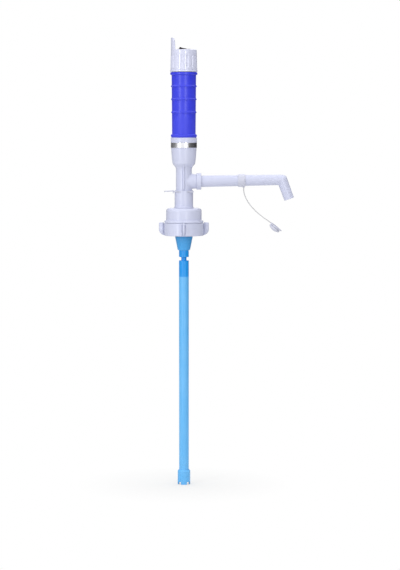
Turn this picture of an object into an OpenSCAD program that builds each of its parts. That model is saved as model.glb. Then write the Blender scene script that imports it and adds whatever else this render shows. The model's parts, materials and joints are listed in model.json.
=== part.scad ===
// Electric water jug pump: a battery handle on a motor housing, a side spout, a neck clamp and a dip tube.
// Millimetres. The origin is on the pump's axis at the seat for the bottle's rim, +Z up, +X to the spout.

/* [Fits] */
// Radial clearance of a turning or sliding fit
run_gap = 0.05; // [0.01:0.01:0.1]
// Radial clearance of a pressed fit
snug = 0.02; // [0.01:0.01:0.05]
// Gap between pieces that move past each other
part_gap = 0.3; // [0.2:0.05:0.6]

/* [Bottle neck fitting] */
// Outside diameter of the bottle's neck
bottle_d = 55; // [45:0.5:62]
// Radial clearance round the bottle's neck
bottle_gap = 0.3; // [0.1:0.05:0.8]
// Thickness of the rubber gasket on the bottle's rim
gasket_t = 3.4; // [2:0.1:6]
// Wall of the neck cup
cup_wall = 1.6; // [1.5:0.1:4]
// Thickness of the top of the neck cup
cup_top_t = 3.2; // [2:0.1:6]
// Rounding of the top edge of the neck cup
cup_edge = 5; // [1:0.5:6]
// From the seat down to the flange of the neck cup
cup_drop = 13.8; // [8:0.1:20]
// How far the flange of the neck cup stands out
cup_flange_out = 2.8; // [1:0.1:4]
// Thickness of the flange of the neck cup
cup_flange_t = 4.1; // [2:0.1:6]
// Length of the skirt of the neck cup inside the wing ring
cup_skirt_l = 7.5; // [4:0.1:12]

/* [Wing ring] */
// Wall of the wing ring
ring_wall = 2.9; // [2:0.1:5]
// Height of the wing ring
ring_h = 20.9; // [18:0.1:30]
// Thickness of the lip under the grip ring
ring_lip_t = 1.8; // [1:0.1:3]
// How far the lip reaches in under the grip ring
ring_lip_in = 1.8; // [0.5:0.1:2]
// How far each wing stands out
wing_out = 8.8; // [4:0.1:14]
// Thickness of each wing
wing_t = 3; // [2:0.1:5]
// Rounding of the lower outer corner of each wing
wing_corner = 10; // [2:0.5:10]

/* [Neck sleeve] */
// Outside diameter of the pump's stem in the sleeve
stem_d = 26; // [22:0.5:30]
// Wall of the neck sleeve
sleeve_wall = 1.9; // [1.8:0.1:4]
// Height of the neck sleeve above the cup
sleeve_h = 29.4; // [20:0.1:40]
// How far the foot of the neck sleeve stands out
sleeve_foot_out = 0.9; // [0.4:0.1:3]
// Height of the foot of the neck sleeve
sleeve_foot_h = 2.4; // [1:0.1:5]
// Depth of the neck sleeve's spigot below the top of the cup
sleeve_spigot_l = 5; // [3:0.1:6]
// Cord thickness of the swivel seal
swivel_seal_t = 1.4; // [1:0.1:2]
// From the top of the sleeve down to the swivel seal
swivel_seal_drop = 14; // [8:0.5:20]

/* [Lock clip] */
// Thickness of the lock clip
clip_t = 1.8; // [1:0.1:3]
// Width of each leg of the lock clip
clip_leg_w = 2.6; // [2:0.1:4]
// Depth of the clip's groove in the stem
clip_groove = 1.8; // [1:0.1:2.5]
// From the top of the sleeve down to the middle of the clip
clip_drop = 2.3; // [1.6:0.1:5]
// How far the leg ends stick out of the sleeve
clip_leg_out = 1; // [0.5:0.1:4]
// How far the bow stands out of the sleeve
clip_bow_out = 2.2; // [1:0.1:6]
// Length of the finger tab past the bow
clip_tab_l = 14; // [8:0.5:24]
// Width of the finger tab
clip_tab_w = 11; // [6:0.5:18]
// How far the finger tab dips
clip_tab_dip = 9; // [0:1:20]
// Height of the stop at the root of the finger tab
clip_boss_h = 5.4; // [2.4:0.1:8]

/* [Pump body] */
// Water bore of the stem
stem_bore_d = 19; // [15:0.5:20]
// Outside diameter of the spigot at the stem's lower end
spigot_d = 21.6; // [19:0.2:24]
// Wall of that spigot
spigot_wall = 2.5; // [2:0.1:4]
// Length of that spigot
spigot_l = 17; // [12:0.5:24]
// Height of the spout's axis above the sleeve
spout_rise = 14.8; // [14.2:0.1:24]
// Outside diameter of the side branch
branch_d = 24; // [18:0.1:24]
// Length of the side branch from the pump's axis
branch_l = 20.4; // [16:0.1:30]
// Bore of the side branch
branch_bore_d = 15.2; // [10:0.1:16]
// Length of the reduced end that carries the nut
branch_end_l = 4.3; // [3:0.1:8]
// How much the branch is reduced at that end
branch_step = 0.6; // [0.3:0.1:1.2]
// Width of the front and rear ribs on the stem
rib_w = 3.6; // [2:0.1:8]
// How far the ribs stand out
rib_out = 1.7; // [0.5:0.1:3]
// Height of the water chamber above the spout's axis
chamber_rise = 9.7; // [8.5:0.1:14]
// Thickness of the wall between water chamber and seal
partition_t = 2.5; // [1.5:0.1:5]
// Wall of the motor housing at its rim
house_wall = 1.75; // [1.5:0.05:4]
// Wall of the motor housing round the foot of the motor
shoulder_wall = 3.9; // [3:0.1:5]

/* [Motor and drive] */
// Diameter of the motor
motor_d = 27.7; // [24:0.1:29]
// Length of the motor can
motor_l = 22; // [18:0.5:32]
// Height of the motor's end cap
end_cap_h = 1.7; // [1:0.1:4]
// Thickness of the mounting plate under the motor
plate_t = 1.5; // [1:0.1:3]
// Diameter of the motor shaft
motor_shaft_d = 2.3; // [2:0.1:3]
// Diameter of the drive shaft
drive_d = 3; // [2:0.1:4]
// Diameter of the shaft coupling
coupling_d = 8; // [6:0.1:8.4]
// Length of the shaft coupling
coupling_l = 7.5; // [6:0.1:12]
// Diameter of the coupling chamber
coupling_bay_d = 17; // [16.5:0.1:19]
// Diameter of the shaft seal
seal_d = 10.9; // [8:0.1:12]
// Height of the shaft seal
seal_h = 4; // [3:0.1:6]
// Thickness of the plate that keeps the shaft seal
retainer_t = 1.2; // [0.8:0.1:2]
// Radius of the circle of the motor screws
screw_r = 6.3; // [6.2:0.05:6.5]
// Shank diameter of the motor screws
screw_d = 2.5; // [2:0.1:3]
// Head diameter of the motor screws
screw_head_d = 3.6; // [3:0.1:3.8]
// Head height of the motor screws
screw_head_h = 1.6; // [1:0.1:2.5]

/* [Batteries and handle] */
// Diameter of a D cell
cell_d = 33.4; // [32.5:0.1:34.2]
// Length of a D cell with its button
cell_l = 61.5; // [59:0.1:62]
// Diameter of a cell's button
button_d = 9.5; // [7:0.1:10]
// Height of a cell's button
button_h = 1.5; // [1:0.1:2]
// Radial clearance round the cells
cell_gap = 0.5; // [0.3:0.05:1]
// Wall of the battery tube
tube_wall = 1.1; // [1:0.1:3]
// Thickness of the bulkhead under the cells
bulkhead_t = 2.5; // [1.5:0.1:5]
// Height of the chrome trim band
band_h = 8.3; // [5:0.1:14]
// Thickness of the chrome trim band
band_t = 1.5; // [0.8:0.1:3]
// Height of the white collar under the grip
collar_h = 8.5; // [5:0.1:14]
// How far the collar stands out from the battery tube
collar_out = 3.25; // [2:0.05:5]
// Thickness of the grip at its lower end
grip_wall = 1.1; // [1:0.05:4]
// How much thicker the grip is at its upper end
grip_swell = 0.9; // [0:0.05:2]
// Height of the grip's upper flange
grip_top_h = 4.3; // [3:0.1:9]
// Height of the grip's lower flange
grip_foot_h = 5.4; // [3:0.1:9]
// How far the grip's flanges stand out
grip_flange_out = 2.1; // [1:0.1:4]
// How far the grip's rings stand out
grip_ring_out = 1.2; // [0.5:0.1:3]
// Height of each of the grip's rings
grip_ring_h = 4; // [2:0.1:8]
// From the top of the grip down to the first ring
grip_ring_drop = 23; // [16:0.1:30]
// Spacing of the grip's rings
grip_ring_pitch = 21.5; // [14:0.1:26]
// Width of the contact strip
strip_w = 6; // [3:0.1:8]
// Thickness of the contact strip
strip_t = 0.5; // [0.3:0.05:0.6]

/* [Switch cap] */
// Height of the switch cap
cap_h = 36.4; // [32:0.1:44]
// Wall of the switch cap
cap_wall = 2.65; // [2:0.05:4]
// Thickness of the cap's top
cap_top_t = 2.5; // [2:0.1:4]
// How much wider the cap's wall is at its foot
cap_flare = 0.75; // [0:0.05:2]
// Height of the hem
cap_hem_h = 3.2; // [1:0.1:6]
// How far the hem stands out
cap_hem_out = 0.55; // [0.2:0.05:2]
// Number of grip flutes
flutes = 16; // [8:1:20]
// Depth of the grip flutes
flute_depth = 0.9; // [0.3:0.1:1.2]
// Radius of the grip flutes
flute_r = 2.6; // [2:0.1:6]
// Turn of the flutes about the cap's axis
flute_turn = 16.2; // [0:0.1:22]
// Height of the guard above the cap
guard_h = 20; // [8:0.5:30]
// Thickness of the guard
guard_t = 2.6; // [1.5:0.1:4]
// Width of the guard at its foot
guard_foot_w = 27.4; // [20:0.1:38]
// Width of the guard near its top
guard_top_w = 25; // [14:0.1:36]
// Rounding of the guard's upper corners
guard_corner = 5; // [1:0.5:6]
// Length of the battery spring
spring_l = 9; // [6:0.1:14]
// Thickness of the cap seal
cap_seal_t = 0.6; // [0.4:0.1:2]

/* [Switch] */
// Length of the switch body
switch_l = 19.4; // [17:0.1:22]
// Width of the switch body
switch_w = 12.8; // [10:0.1:15]
// Depth of the switch body below the cap's top
switch_depth = 19; // [14:0.1:20]
// Width of the bezel's rim
bezel_out = 1.3; // [0.8:0.1:3]
// Thickness of the bezel
bezel_t = 1.2; // [0.8:0.1:2]
// Wall of the switch body
switch_wall = 0.8; // [0.6:0.1:1.5]
// Height of the rocker's ends above its pivot
rocker_rise = 4.2; // [3:0.1:6]
// How far the rocker's middle is dished
rocker_dish = 0.7; // [0.3:0.1:2.5]
// Tilt of the rocker either way from level
rocker_tilt = 12; // [8:0.5:14]
// Diameter of the rocker's pivot pin
rocker_pin_d = 2.4; // [1.5:0.1:3]

/* [Spout] */
// Outside diameter of the spout at the nut
spout_d = 19.2; // [16:0.1:22]
// Outside diameter of the spout at the elbow
spout_end_d = 17.4; // [14:0.1:20]
// Outside diameter of the outlet
outlet_d = 16.7; // [13:0.1:18]
// Bore of the spout at the nut
spout_bore_d = 14.4; // [10:0.1:16]
// Bore of the outlet
outlet_bore_d = 13.6; // [9:0.1:15]
// From the pump's axis to the elbow
elbow_x = 162.7; // [120:0.1:220]
// Length of the outlet past the elbow
outlet_l = 34; // [22:0.1:50]
// How far the spout rises past the nut
spout_tilt = 1.1; // [0:0.1:3]
// How far the elbow turns down
elbow_turn = 71; // [45:1:90]
// Diameter of the coupling nut
nut_d = 27.4; // [25:0.1:29]
// Length of the coupling nut
nut_l = 8.2; // [7:0.1:14]
// Thickness of the nut's end
nut_end_t = 1.3; // [0.8:0.1:3]
// Chamfer of the nut's edges
nut_edge = 0.8; // [0.3:0.1:1.5]
// Thickness of the spout seal
spout_seal_t = 1.2; // [0.8:0.1:2]

/* [Tether and spout cap] */
// From the pump's axis to the middle of the tether ring
tether_x = 95.5; // [60:0.5:130]
// Width of the tether ring
tether_ring_w = 12.6; // [8:0.1:20]
// Thickness of the tether ring
tether_ring_t = 1.15; // [0.7:0.05:3]
// Diameter of the tether
tether_d = 1.6; // [1.4:0.1:3]
// Wall of the spout cap
spout_cap_wall = 1.1; // [0.8:0.1:2]
// Inside depth of the spout cap
spout_cap_depth = 7.4; // [5:0.1:12]
// How far the spout cap's end is domed
spout_cap_dome = 3.2; // [1:0.1:5]
// Thickness of the spout cap's plate
spout_cap_plate_t = 1.6; // [1:0.1:3]
// How far the pull lip reaches past the plate
spout_cap_lip = 1.8; // [1:0.1:8]
// How far the spout cap hangs tilted
spout_cap_turn = 38; // [0:1:60]
// How far the spout cap's mouth turns to the front
spout_cap_twist = 4; // [0:1:30]
// Middle of the spout cap's plate along X
spout_cap_x = 152.2; // [120:0.1:180]
// Middle of the spout cap's plate along Z
spout_cap_z = -24.2; // [-60:0.1:0]

/* [Dip tube and foot] */
// From the top of the adapter to its cone
adapter_top_h = 5; // [3:0.1:10]
// Wall of the adapter's socket
adapter_wall = 3.65; // [2:0.05:5]
// Length of the adapter's cone
adapter_cone_l = 21.7; // [18:0.1:36]
// Diameter at the foot of the cone
adapter_cone_d = 20.3; // [17:0.1:24]
// Length of the stub under the cone
stub_l = 11.6; // [6:0.1:20]
// Diameter of the waist under the stub
waist_d = 8.8; // [8:0.1:11]
// Length of the waist
waist_l = 5.7; // [3:0.1:10]
// Length of the plug in the dip tube
plug_l = 28; // [15:0.5:40]
// Bore through the stub and the plug
plug_bore_d = 5.8; // [5:0.1:6.5]
// Outside diameter of the dip tube
dip_d = 16.2; // [14:0.1:20]
// Wall of the dip tube
dip_wall = 1.8; // [1:0.1:3]
// Length of the dip tube
dip_l = 356; // [300:1:420]
// Wall of the foot's socket
foot_wall = 2.35; // [1.5:0.05:4]
// Depth of the tube in the foot
foot_socket_l = 7; // [4:0.1:14]
// Height of the impeller chamber
impeller_bay_h = 11; // [9:0.1:18]
// Height of the impeller
impeller_h = 6; // [4:0.1:8]
// Running gap round the impeller
impeller_gap = 0.4; // [0.2:0.05:1]
// Thickness of the foot's floor
foot_floor_t = 2; // [1.5:0.1:4]
// Height of the castellated rim under the floor
foot_rim_h = 4; // [2:0.1:8]
// Diameter of the foot's bush
bush_d = 6; // [5:0.1:7]
// Diameter of each intake hole
intake_d = 2.8; // [1.5:0.1:3.4]
// Thickness of each shaft guide
guide_t = 5; // [3:0.1:10]

/* [Hidden] */
$fn = 72;

white = [0.84, 0.85, 0.92];
blue = [0.33, 0.37, 0.89];
sky = [0.36, 0.70, 0.94];
chrome = [0.75, 0.76, 0.78];
steel = [0.62, 0.63, 0.65];
brass = [0.78, 0.62, 0.30];
black = [0.09, 0.09, 0.10];
rubber = [0.17, 0.17, 0.18];
red = [0.75, 0.10, 0.10];
label = [0.30, 0.32, 0.36];

// Small steps: a cut past a face, an overlap inside one solid, a loose fit of a flat piece
cut = 1;
tuck = 0.5;
slack = 0.2;

// Bottle neck fitting, downwards from the seat at Z = 0
bore_r = bottle_d / 2 + bottle_gap;
cup_r = bore_r + cup_wall;
cup_top_z = gasket_t + cup_top_t;
cup_flange_z = -cup_drop;
cup_flange_r = cup_r + cup_flange_out;
skirt_z = cup_flange_z - cup_flange_t;
skirt_end_z = skirt_z - cup_skirt_l;
ring_in_r = cup_r + part_gap;
ring_r = ring_in_r + ring_wall;
ring_z = skirt_z - part_gap;
ring_end_z = ring_z - ring_h;
wing_r = ring_r + wing_out;
wing_root_r = ring_r - 0.7 * ring_wall;
wing_round = min(wing_corner, wing_r - wing_root_r);
wing_end_z = ring_end_z + 0.8;

// Neck sleeve and lock clip, upwards from the cup
stem_r = stem_d / 2;
sleeve_in_r = stem_r + part_gap;
sleeve_r = sleeve_in_r + sleeve_wall;
sleeve_top_z = cup_top_z + sleeve_h;
sleeve_spigot_r = sleeve_r - tuck;
sleeve_end_z = cup_top_z - sleeve_spigot_l;
clip_z = sleeve_top_z - clip_drop;
groove_r = stem_r - clip_groove;
leg_in = groove_r + slack;
leg_out = leg_in + clip_leg_w;
bow_x = sleeve_r + clip_bow_out - leg_out;
swivel_z = sleeve_top_z - swivel_seal_drop;

// Pump body, upwards from the sleeve
stem_bore_r = stem_bore_d / 2;
spout_z = sleeve_top_z + spout_rise;
chamber_z = spout_z + chamber_rise;
seal_z = chamber_z + partition_t;
retainer_z = seal_z + seal_h;
coupling_lift = 1.3;
coupling_z = retainer_z + retainer_t + coupling_lift;
coupling_top_z = coupling_z + coupling_l;
floor_z = coupling_top_z + screw_head_h + 2 * slack;
motor_z = floor_z + plate_t;
motor_top_z = motor_z + motor_l;
end_cap_z = motor_top_z + end_cap_h;
motor_gap = 1.15;
pocket_r = motor_d / 2 + motor_gap;
shoulder_r = pocket_r + shoulder_wall;
shoulder_rise = 1.9;
shoulder_z = floor_z + shoulder_rise;
rim_rise = 10;
branch_end_r = branch_d / 2 - branch_step;
branch_end_x = branch_l + branch_end_l;

// Handle, upwards from the motor
cell_r = cell_d / 2;
tube_in_r = cell_r + cell_gap;
tube_r = tube_in_r + tube_wall;
terminal_h = 2.6;
tube_z = end_cap_z + terminal_h + slack;
rim_in_r = tube_r + run_gap;
rim_r = rim_in_r + house_wall;
house_out = 0.95;
house_r = rim_r + house_out;
tube_lift = 0.6;
band_z = tube_z - tube_lift;
collar_z = band_z + band_h;
collar_r = tube_r + collar_out;
grip_z = collar_z + collar_h;
ledge_t = 1;
ledge_in = 2.2;
bulkhead_z = tube_z + ledge_t;
contact_t = 0.5;
contact_z = bulkhead_z + bulkhead_t;
cells_z = contact_z + contact_t;
cells_top_z = cells_z + 2 * cell_l;
grip_in_r = tube_r + snug;
grip_foot_r = grip_in_r + grip_wall;
grip_head_r = grip_foot_r + grip_swell;
cap_overlap = 2.4;
cap_z = cells_top_z - cap_overlap;
grip_top_z = cap_z - run_gap - cap_seal_t;
strip_gap = 0.3;
strip_in = cell_r + strip_gap;
strip_out = strip_in + strip_t;
strip_foot = 2;
lead_r = 0.6;
lead_x = 7.9;
terminal_t = 0.5;
terminal_w = 2.8;
terminal_x = lead_x - lead_r - terminal_t;
boss_r = 3.2;
boss_h = 1;
shaft_in = 9.8;
screw_in = 2.8;
end_cap_step = 2.6;

// Switch cap, upwards from the grip
cap_gap = 0.35;
cap_in_r = tube_r + cap_gap;
cap_r = cap_in_r + cap_wall;
cap_foot_r = cap_r + cap_flare;
cap_hem_r = cap_foot_r + cap_hem_out;
cap_top_z = cap_z + cap_h;
cap_ceiling_z = cap_top_z - cap_top_t;
cap_edge = 1.6;
flute_z = cap_z + 6.8;
flute_top_z = cap_top_z - 8.6;
flute_lean = atan(cap_flare / (cap_h - cap_hem_h));
flute_foot_r = mix(cap_foot_r, cap_r, (flute_z - cap_z) / cap_h);
plate_z = cells_top_z + spring_l;
cap_contact_t = 1.2;
plate_top_z = plate_z + cap_contact_t;
skirt_wall = 1.4;
skirt_in_r = norm([switch_l, switch_w]) / 2 + skirt_wall;
skirt_r = skirt_in_r + skirt_wall;
ring_contact_rise = 6.4;
ring_contact_t = 0.6;
contact_ring_z = plate_top_z + ring_contact_rise;
tube_top_z = contact_ring_z - ring_contact_t;
guard_top_z = cap_top_z + guard_h;
guard_z = cap_top_z - cap_top_t - tuck;
guard_in = guard_top_w / 2 - guard_corner;
switch_z = cap_top_z - switch_depth;
bezel_top_z = cap_top_z + bezel_t;
pivot_drop = 1.45;
pivot_z = cap_top_z - pivot_drop;
rocker_room = 5;
blade_x = 5;
blade_w = 4.8;
blade_t = 0.8;
rocker_half = switch_l / 2 - switch_wall - slack;
rocker_w = switch_w - 2 * switch_wall - 2 * slack;
rocker_crest = 1.2;
rocker_tip = sqrt(pow(rocker_half, 2) - pow(rocker_rise, 2)) - rocker_crest;
rocker_flat = 0.45 * rocker_tip;

// Spout, outwards from the branch
spout_r = spout_d / 2;
spout_x = branch_end_x + spout_seal_t;
nut_x = branch_l + part_gap;
nut_in_r = branch_d / 2 - branch_step + part_gap;
nut_end_x = nut_x + nut_l;
nut_end_in_r = spout_r + part_gap;
collar_end_r = nut_in_r - part_gap;
spout_end_r = spout_end_d / 2;
outlet_r = outlet_d / 2;
outlet_bore_r = outlet_bore_d / 2;
spout_bore_r = spout_bore_d / 2;
outlet_angle = 90 + elbow_turn;

// Tether: its ring follows the spout, its route is chosen by hand in X and Z
tether_near_x = tether_x - tether_ring_w / 2;
tether_ring_z = spout_z + (tether_x - spout_x) * sin(spout_tilt);
tether_spout_r = mix(spout_r, spout_end_r, (tether_near_x - spout_x) / (elbow_x - spout_x));
tether_ring_in = tether_spout_r + part_gap;
tether_ring_r = tether_ring_in + tether_ring_t;
tether_ring_edge = 1.6;
lug_l = 1.2;
lug_out = 0.6;
lug_z = tether_ring_z - tether_ring_r - lug_l;
lug_x = tether_x + 3.5;
cap_fit = 0.15;
cap_bore_r = outlet_r + cap_fit;
cap_out_r = cap_bore_r + spout_cap_wall;
plate_rim = 0.6;
cap_plate_r = cap_out_r + plate_rim;
cap_anchor = cap_plate_r + tuck;
cap_end_h = spout_cap_depth + spout_cap_wall;
cap_dome_r = (cap_out_r * cap_out_r + spout_cap_dome * spout_cap_dome) / (2 * spout_cap_dome);
cap_dome_in_r = cap_dome_r - spout_cap_wall;
cap_dome_steps = 8;
anchor_w = 4;
lip_w = 6;
anchor_x = spout_cap_x - cap_anchor * cos(spout_cap_turn);
anchor_z = spout_cap_z + cap_anchor * sin(spout_cap_turn);
tether_route = [
    [lug_x, lug_z], [lug_x, 36.8], [99.4, 33], [100.3, 29], [101.9, 25],
    [104, 20.4], [107, 15.6], [110.5, 10.8], [114.5, 6], [119, 1.4], [124.2, -3], [129.5, -7.2],
    [134.5, -11], [anchor_x - 3.2, anchor_z + 2.5], [anchor_x, anchor_z]
];

// Dip tube and foot, downwards from the stem
adapter_tuck = 2.8;
adapter_z = ring_end_z + adapter_tuck;
spigot_r = spigot_d / 2;
spigot_bore_r = spigot_r - spigot_wall;
spigot_end_z = adapter_z - spigot_l;
socket_r = spigot_r + run_gap;
adapter_r = socket_r + adapter_wall;
cone_z = adapter_z - adapter_top_h;
cone_end_z = cone_z - adapter_cone_l;
stub_z = cone_end_z - stub_l;
dip_r = dip_d / 2;
dip_in_r = dip_r - dip_wall;
dip_z = stub_z - waist_l;
plug_r = dip_in_r - snug;
plug_bore_r = plug_bore_d / 2;
dip_end_z = dip_z - dip_l;
foot_in_r = dip_r + run_gap;
foot_r = foot_in_r + foot_wall;
foot_top_z = dip_end_z + foot_socket_l;
bay_r = dip_r + tuck;
bay_end_z = dip_end_z - impeller_bay_h;
floor_end_z = bay_end_z - foot_floor_t;
foot_end_z = floor_end_z - foot_rim_h;
impeller_r = bay_r - impeller_gap;
impeller_lift = 1.6;
impeller_z = bay_end_z + impeller_lift;
disc_t = 1.2;
vane_t = 1;
hub_wall = 1.4;
rim_slot_w = 6;
foot_edge = 2;
bush_out = 0.6;
adapter_seal_t = 1.2;
guide_wall = 0.9;
adapter_seal_z = adapter_z - 0.6 * spigot_l;
drive_r = drive_d / 2;
drive_top_z = coupling_z + coupling_l * 0.55;
drive_end_z = floor_end_z;
motor_shaft_r = motor_shaft_d / 2;

function mix(a, b, t) = a + (b - a) * t;
function arc(cx, cy, r, a0, a1, n) =
    [for (i = [0:n]) let (a = mix(a0, a1, i / n)) [cx + r * cos(a), cy + r * sin(a)]];

module disc(r, z0, z1) {
    translate([0, 0, z0]) cylinder(r = r, h = z1 - z0);
}

module pipe(r_in, r_out, z0, z1) {
    difference() {
        disc(r_out, z0, z1);
        disc(r_in, z0 - cut, z1 + cut);
    }
}

// A ring cut out of a shaft of radius r, in depth to r_in and of width w about z
module groove(r_in, r, z, w) {
    pipe(r_in, r + 2 * cut, z - w / 2, z + w / 2);
}

module rod_x(r, x0, x1) {
    translate([x0, 0, 0]) rotate([0, 90, 0]) cylinder(r = r, h = x1 - x0);
}

module taper_x(r0, r1, x0, x1) {
    translate([x0, 0, 0]) rotate([0, 90, 0]) cylinder(r1 = r0, r2 = r1, h = x1 - x0);
}

module block(x0, x1, y0, y1, z0, z1) {
    translate([x0, y0, z0]) cube([x1 - x0, y1 - y0, z1 - z0]);
}

module o_ring(r_in, r_out, z) {
    rotate_extrude() translate([(r_in + r_out) / 2, z]) circle(r = (r_out - r_in) / 2, $fn = 32);
}

// A round tube along points in space, with a fixed sideways direction for the rings
module sweep(points, r, sides) {
    n = len(points);
    tangents = [for (i = [0:n - 1]) points[min(i + 1, n - 1)] - points[max(i - 1, 0)]];
    rings = [for (i = [0:n - 1])
        let (t = tangents[i] / norm(tangents[i]))
        let (c = cross(t, [0, 0, 1]))
        let (s = norm(c) < 0.001 ? [0, 1, 0] : c / norm(c))
        let (u = cross(t, s))
        for (k = [0:sides - 1]) points[i] + r * (s * cos(360 * k / sides) + u * sin(360 * k / sides))];
    skin = [for (i = [0:n - 2], k = [0:sides - 1])
        [i * sides + k, i * sides + (k + 1) % sides, (i + 1) * sides + (k + 1) % sides, (i + 1) * sides + k]];
    first = [for (k = [sides - 1:-1:0]) k];
    last = [for (k = [0:sides - 1]) (n - 1) * sides + k];
    polyhedron(points = rings, faces = concat(skin, [first], [last]), convexity = 6);
}

module neck_cup() {
    color(white) difference() {
        union() {
            rotate_extrude() difference() {
                translate([0, skirt_end_z]) square([cup_r, cup_top_z - skirt_end_z]);
                translate([cup_r - cup_edge, cup_top_z - cup_edge]) difference() {
                    square(cup_edge + cut);
                    circle(r = cup_edge);
                }
            }
            disc(cup_flange_r, skirt_z, cup_flange_z);
        }
        disc(bore_r, skirt_end_z - cut, gasket_t);
        disc(sleeve_spigot_r + snug, gasket_t - cut, cup_top_z + cut);
    }
}

module neck_sleeve() {
    color(white) difference() {
        union() {
            disc(sleeve_spigot_r, sleeve_end_z, cup_top_z + tuck);
            disc(sleeve_r + sleeve_foot_out, cup_top_z, cup_top_z + sleeve_foot_h);
            disc(sleeve_r, cup_top_z, sleeve_top_z);
        }
        disc(sleeve_in_r, sleeve_end_z - cut, sleeve_top_z + cut);
        slot_z0 = clip_z - clip_t / 2 - slack;
        slot_z1 = clip_z + clip_t / 2 + slack;
        slot_y = leg_out + slack;
        block(-sleeve_r - cut, 0, -slot_y, slot_y, slot_z0, slot_z1);
        block(-cut, sleeve_r + cut, leg_in - slack, slot_y, slot_z0, slot_z1);
        block(-cut, sleeve_r + cut, -slot_y, slack - leg_in, slot_z0, slot_z1);
    }
}

module neck_gasket() {
    color(rubber) pipe(sleeve_spigot_r + 2 * slack, bore_r - 2 * run_gap, 0, gasket_t);
}

module grip_ring() {
    color(rubber) pipe(bore_r, ring_in_r - part_gap, ring_end_z + ring_lip_t + 2 * run_gap, skirt_end_z);
}

module wing_ring() {
    color(white) union() {
        difference() {
            disc(ring_r, ring_end_z, ring_z);
            disc(ring_in_r, ring_end_z + ring_lip_t, ring_z + cut);
            disc(ring_in_r - ring_lip_in, ring_end_z - cut, ring_z);
        }
        for (i = [0:3])
            rotate([0, 0, 90 * i]) rotate([90, 0, 0])
                translate([0, 0, -wing_t / 2]) linear_extrude(wing_t) polygon(concat(
                    [[wing_root_r, wing_end_z], [wing_root_r, ring_z], [wing_r, ring_z]],
                    arc(wing_r - wing_round, wing_end_z + wing_round, wing_round, 0, -90, 10)));
    }
}

module lock_clip() {
    bow_end = sleeve_r + clip_bow_out;
    clip_boss_t = 1;
    color(white) union() {
        translate([0, 0, clip_z - clip_t / 2]) linear_extrude(clip_t) difference() {
            union() {
                translate([-bow_x, 0]) circle(r = leg_out);
                translate([-bow_x, -leg_out]) square([bow_x + sleeve_r + clip_leg_out, 2 * leg_out]);
            }
            translate([-bow_x, 0]) circle(r = leg_in);
            translate([-bow_x, -leg_in]) square([bow_x + sleeve_r + clip_leg_out + cut, 2 * leg_in]);
        }
        block(-bow_end - clip_boss_t, slack - bow_end, -clip_tab_w / 2, clip_tab_w / 2,
            clip_z - clip_boss_h / 2, clip_z + clip_boss_h / 2);
        translate([-bow_end, 0, clip_z]) rotate([0, -clip_tab_dip, 0]) translate([0, 0, -clip_t / 2])
            linear_extrude(clip_t) union() {
                translate([clip_tab_w / 2 - clip_tab_l, 0]) circle(r = clip_tab_w / 2);
                translate([clip_tab_w / 2 - clip_tab_l, -clip_tab_w / 2])
                    square([clip_tab_l - clip_tab_w / 2, clip_tab_w]);
            }
    }
}

module pump_body() {
    color(white) difference() {
        union() {
            rotate_extrude() polygon([
                [0, adapter_z], [stem_r, adapter_z], [stem_r, shoulder_z - 14.9],
                [mix(stem_r, shoulder_r, 0.06), shoulder_z - 11.6],
                [mix(stem_r, shoulder_r, 0.135), shoulder_z - 8.3],
                [mix(stem_r, shoulder_r, 0.205), shoulder_z - 6.6],
                [mix(stem_r, shoulder_r, 0.4), shoulder_z - 5],
                [mix(stem_r, shoulder_r, 0.595), shoulder_z - 3.3],
                [mix(stem_r, shoulder_r, 0.85), shoulder_z - 1.7],
                [shoulder_r, shoulder_z],
                [mix(shoulder_r, house_r, 0.2), shoulder_z + 3.3],
                [mix(shoulder_r, house_r, 0.5), shoulder_z + 6.6],
                [mix(shoulder_r, house_r, 0.66), shoulder_z + 11.5],
                [house_r, band_z], [rim_r, band_z], [rim_r, collar_z], [0, collar_z]
            ]);
            disc(spigot_r, spigot_end_z, adapter_z + tuck);
            translate([0, 0, spout_z]) {
                rod_x(branch_d / 2, 0, branch_l);
                rod_x(branch_end_r, 0, branch_end_x);
            }
            block(-rib_w / 2, rib_w / 2, -stem_r - rib_out, stem_r + rib_out,
                sleeve_top_z + 3 * slack, floor_z);
        }
        disc(spigot_bore_r, spigot_end_z - cut, chamber_z - cut);
        disc(stem_bore_r, adapter_z + 3 * cut, chamber_z);
        disc(drive_r + tuck, chamber_z - cut, seal_z + cut);
        disc(seal_d / 2 + snug, seal_z, retainer_z + cut);
        disc(coupling_bay_d / 2, retainer_z, floor_z + cut);
        disc(pocket_r, floor_z, shoulder_z + cut);
        translate([0, 0, shoulder_z]) cylinder(r1 = pocket_r, r2 = rim_in_r, h = rim_rise);
        disc(rim_in_r, shoulder_z + rim_rise - 0.1, collar_z + cut);
        translate([0, 0, spout_z]) rod_x(branch_bore_d / 2, 0, branch_end_x + cut);
        groove(groove_r, stem_r, clip_z, clip_t + 2 * part_gap);
        groove(sleeve_in_r - run_gap - swivel_seal_t, stem_r, swivel_z, swivel_seal_t + 2 * run_gap);
        groove(spigot_r - adapter_seal_t, spigot_r, adapter_seal_z, adapter_seal_t + 2 * run_gap);
    }
}

module swivel_seal() {
    color(rubber) o_ring(sleeve_in_r - run_gap - swivel_seal_t, sleeve_in_r - run_gap, swivel_z);
}

module battery_tube() {
    color(white) difference() {
        union() {
            disc(tube_r, tube_z, tube_top_z);
            disc(collar_r, collar_z, grip_z);
        }
        disc(tube_in_r - ledge_in, tube_z - cut, bulkhead_z + cut);
        disc(tube_in_r, bulkhead_z, tube_top_z + cut);
        block(0, strip_out + 2 * run_gap, -strip_w / 2 - slack, strip_w / 2 + slack,
            tube_z - cut, tube_top_z + cut);
    }
}

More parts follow.
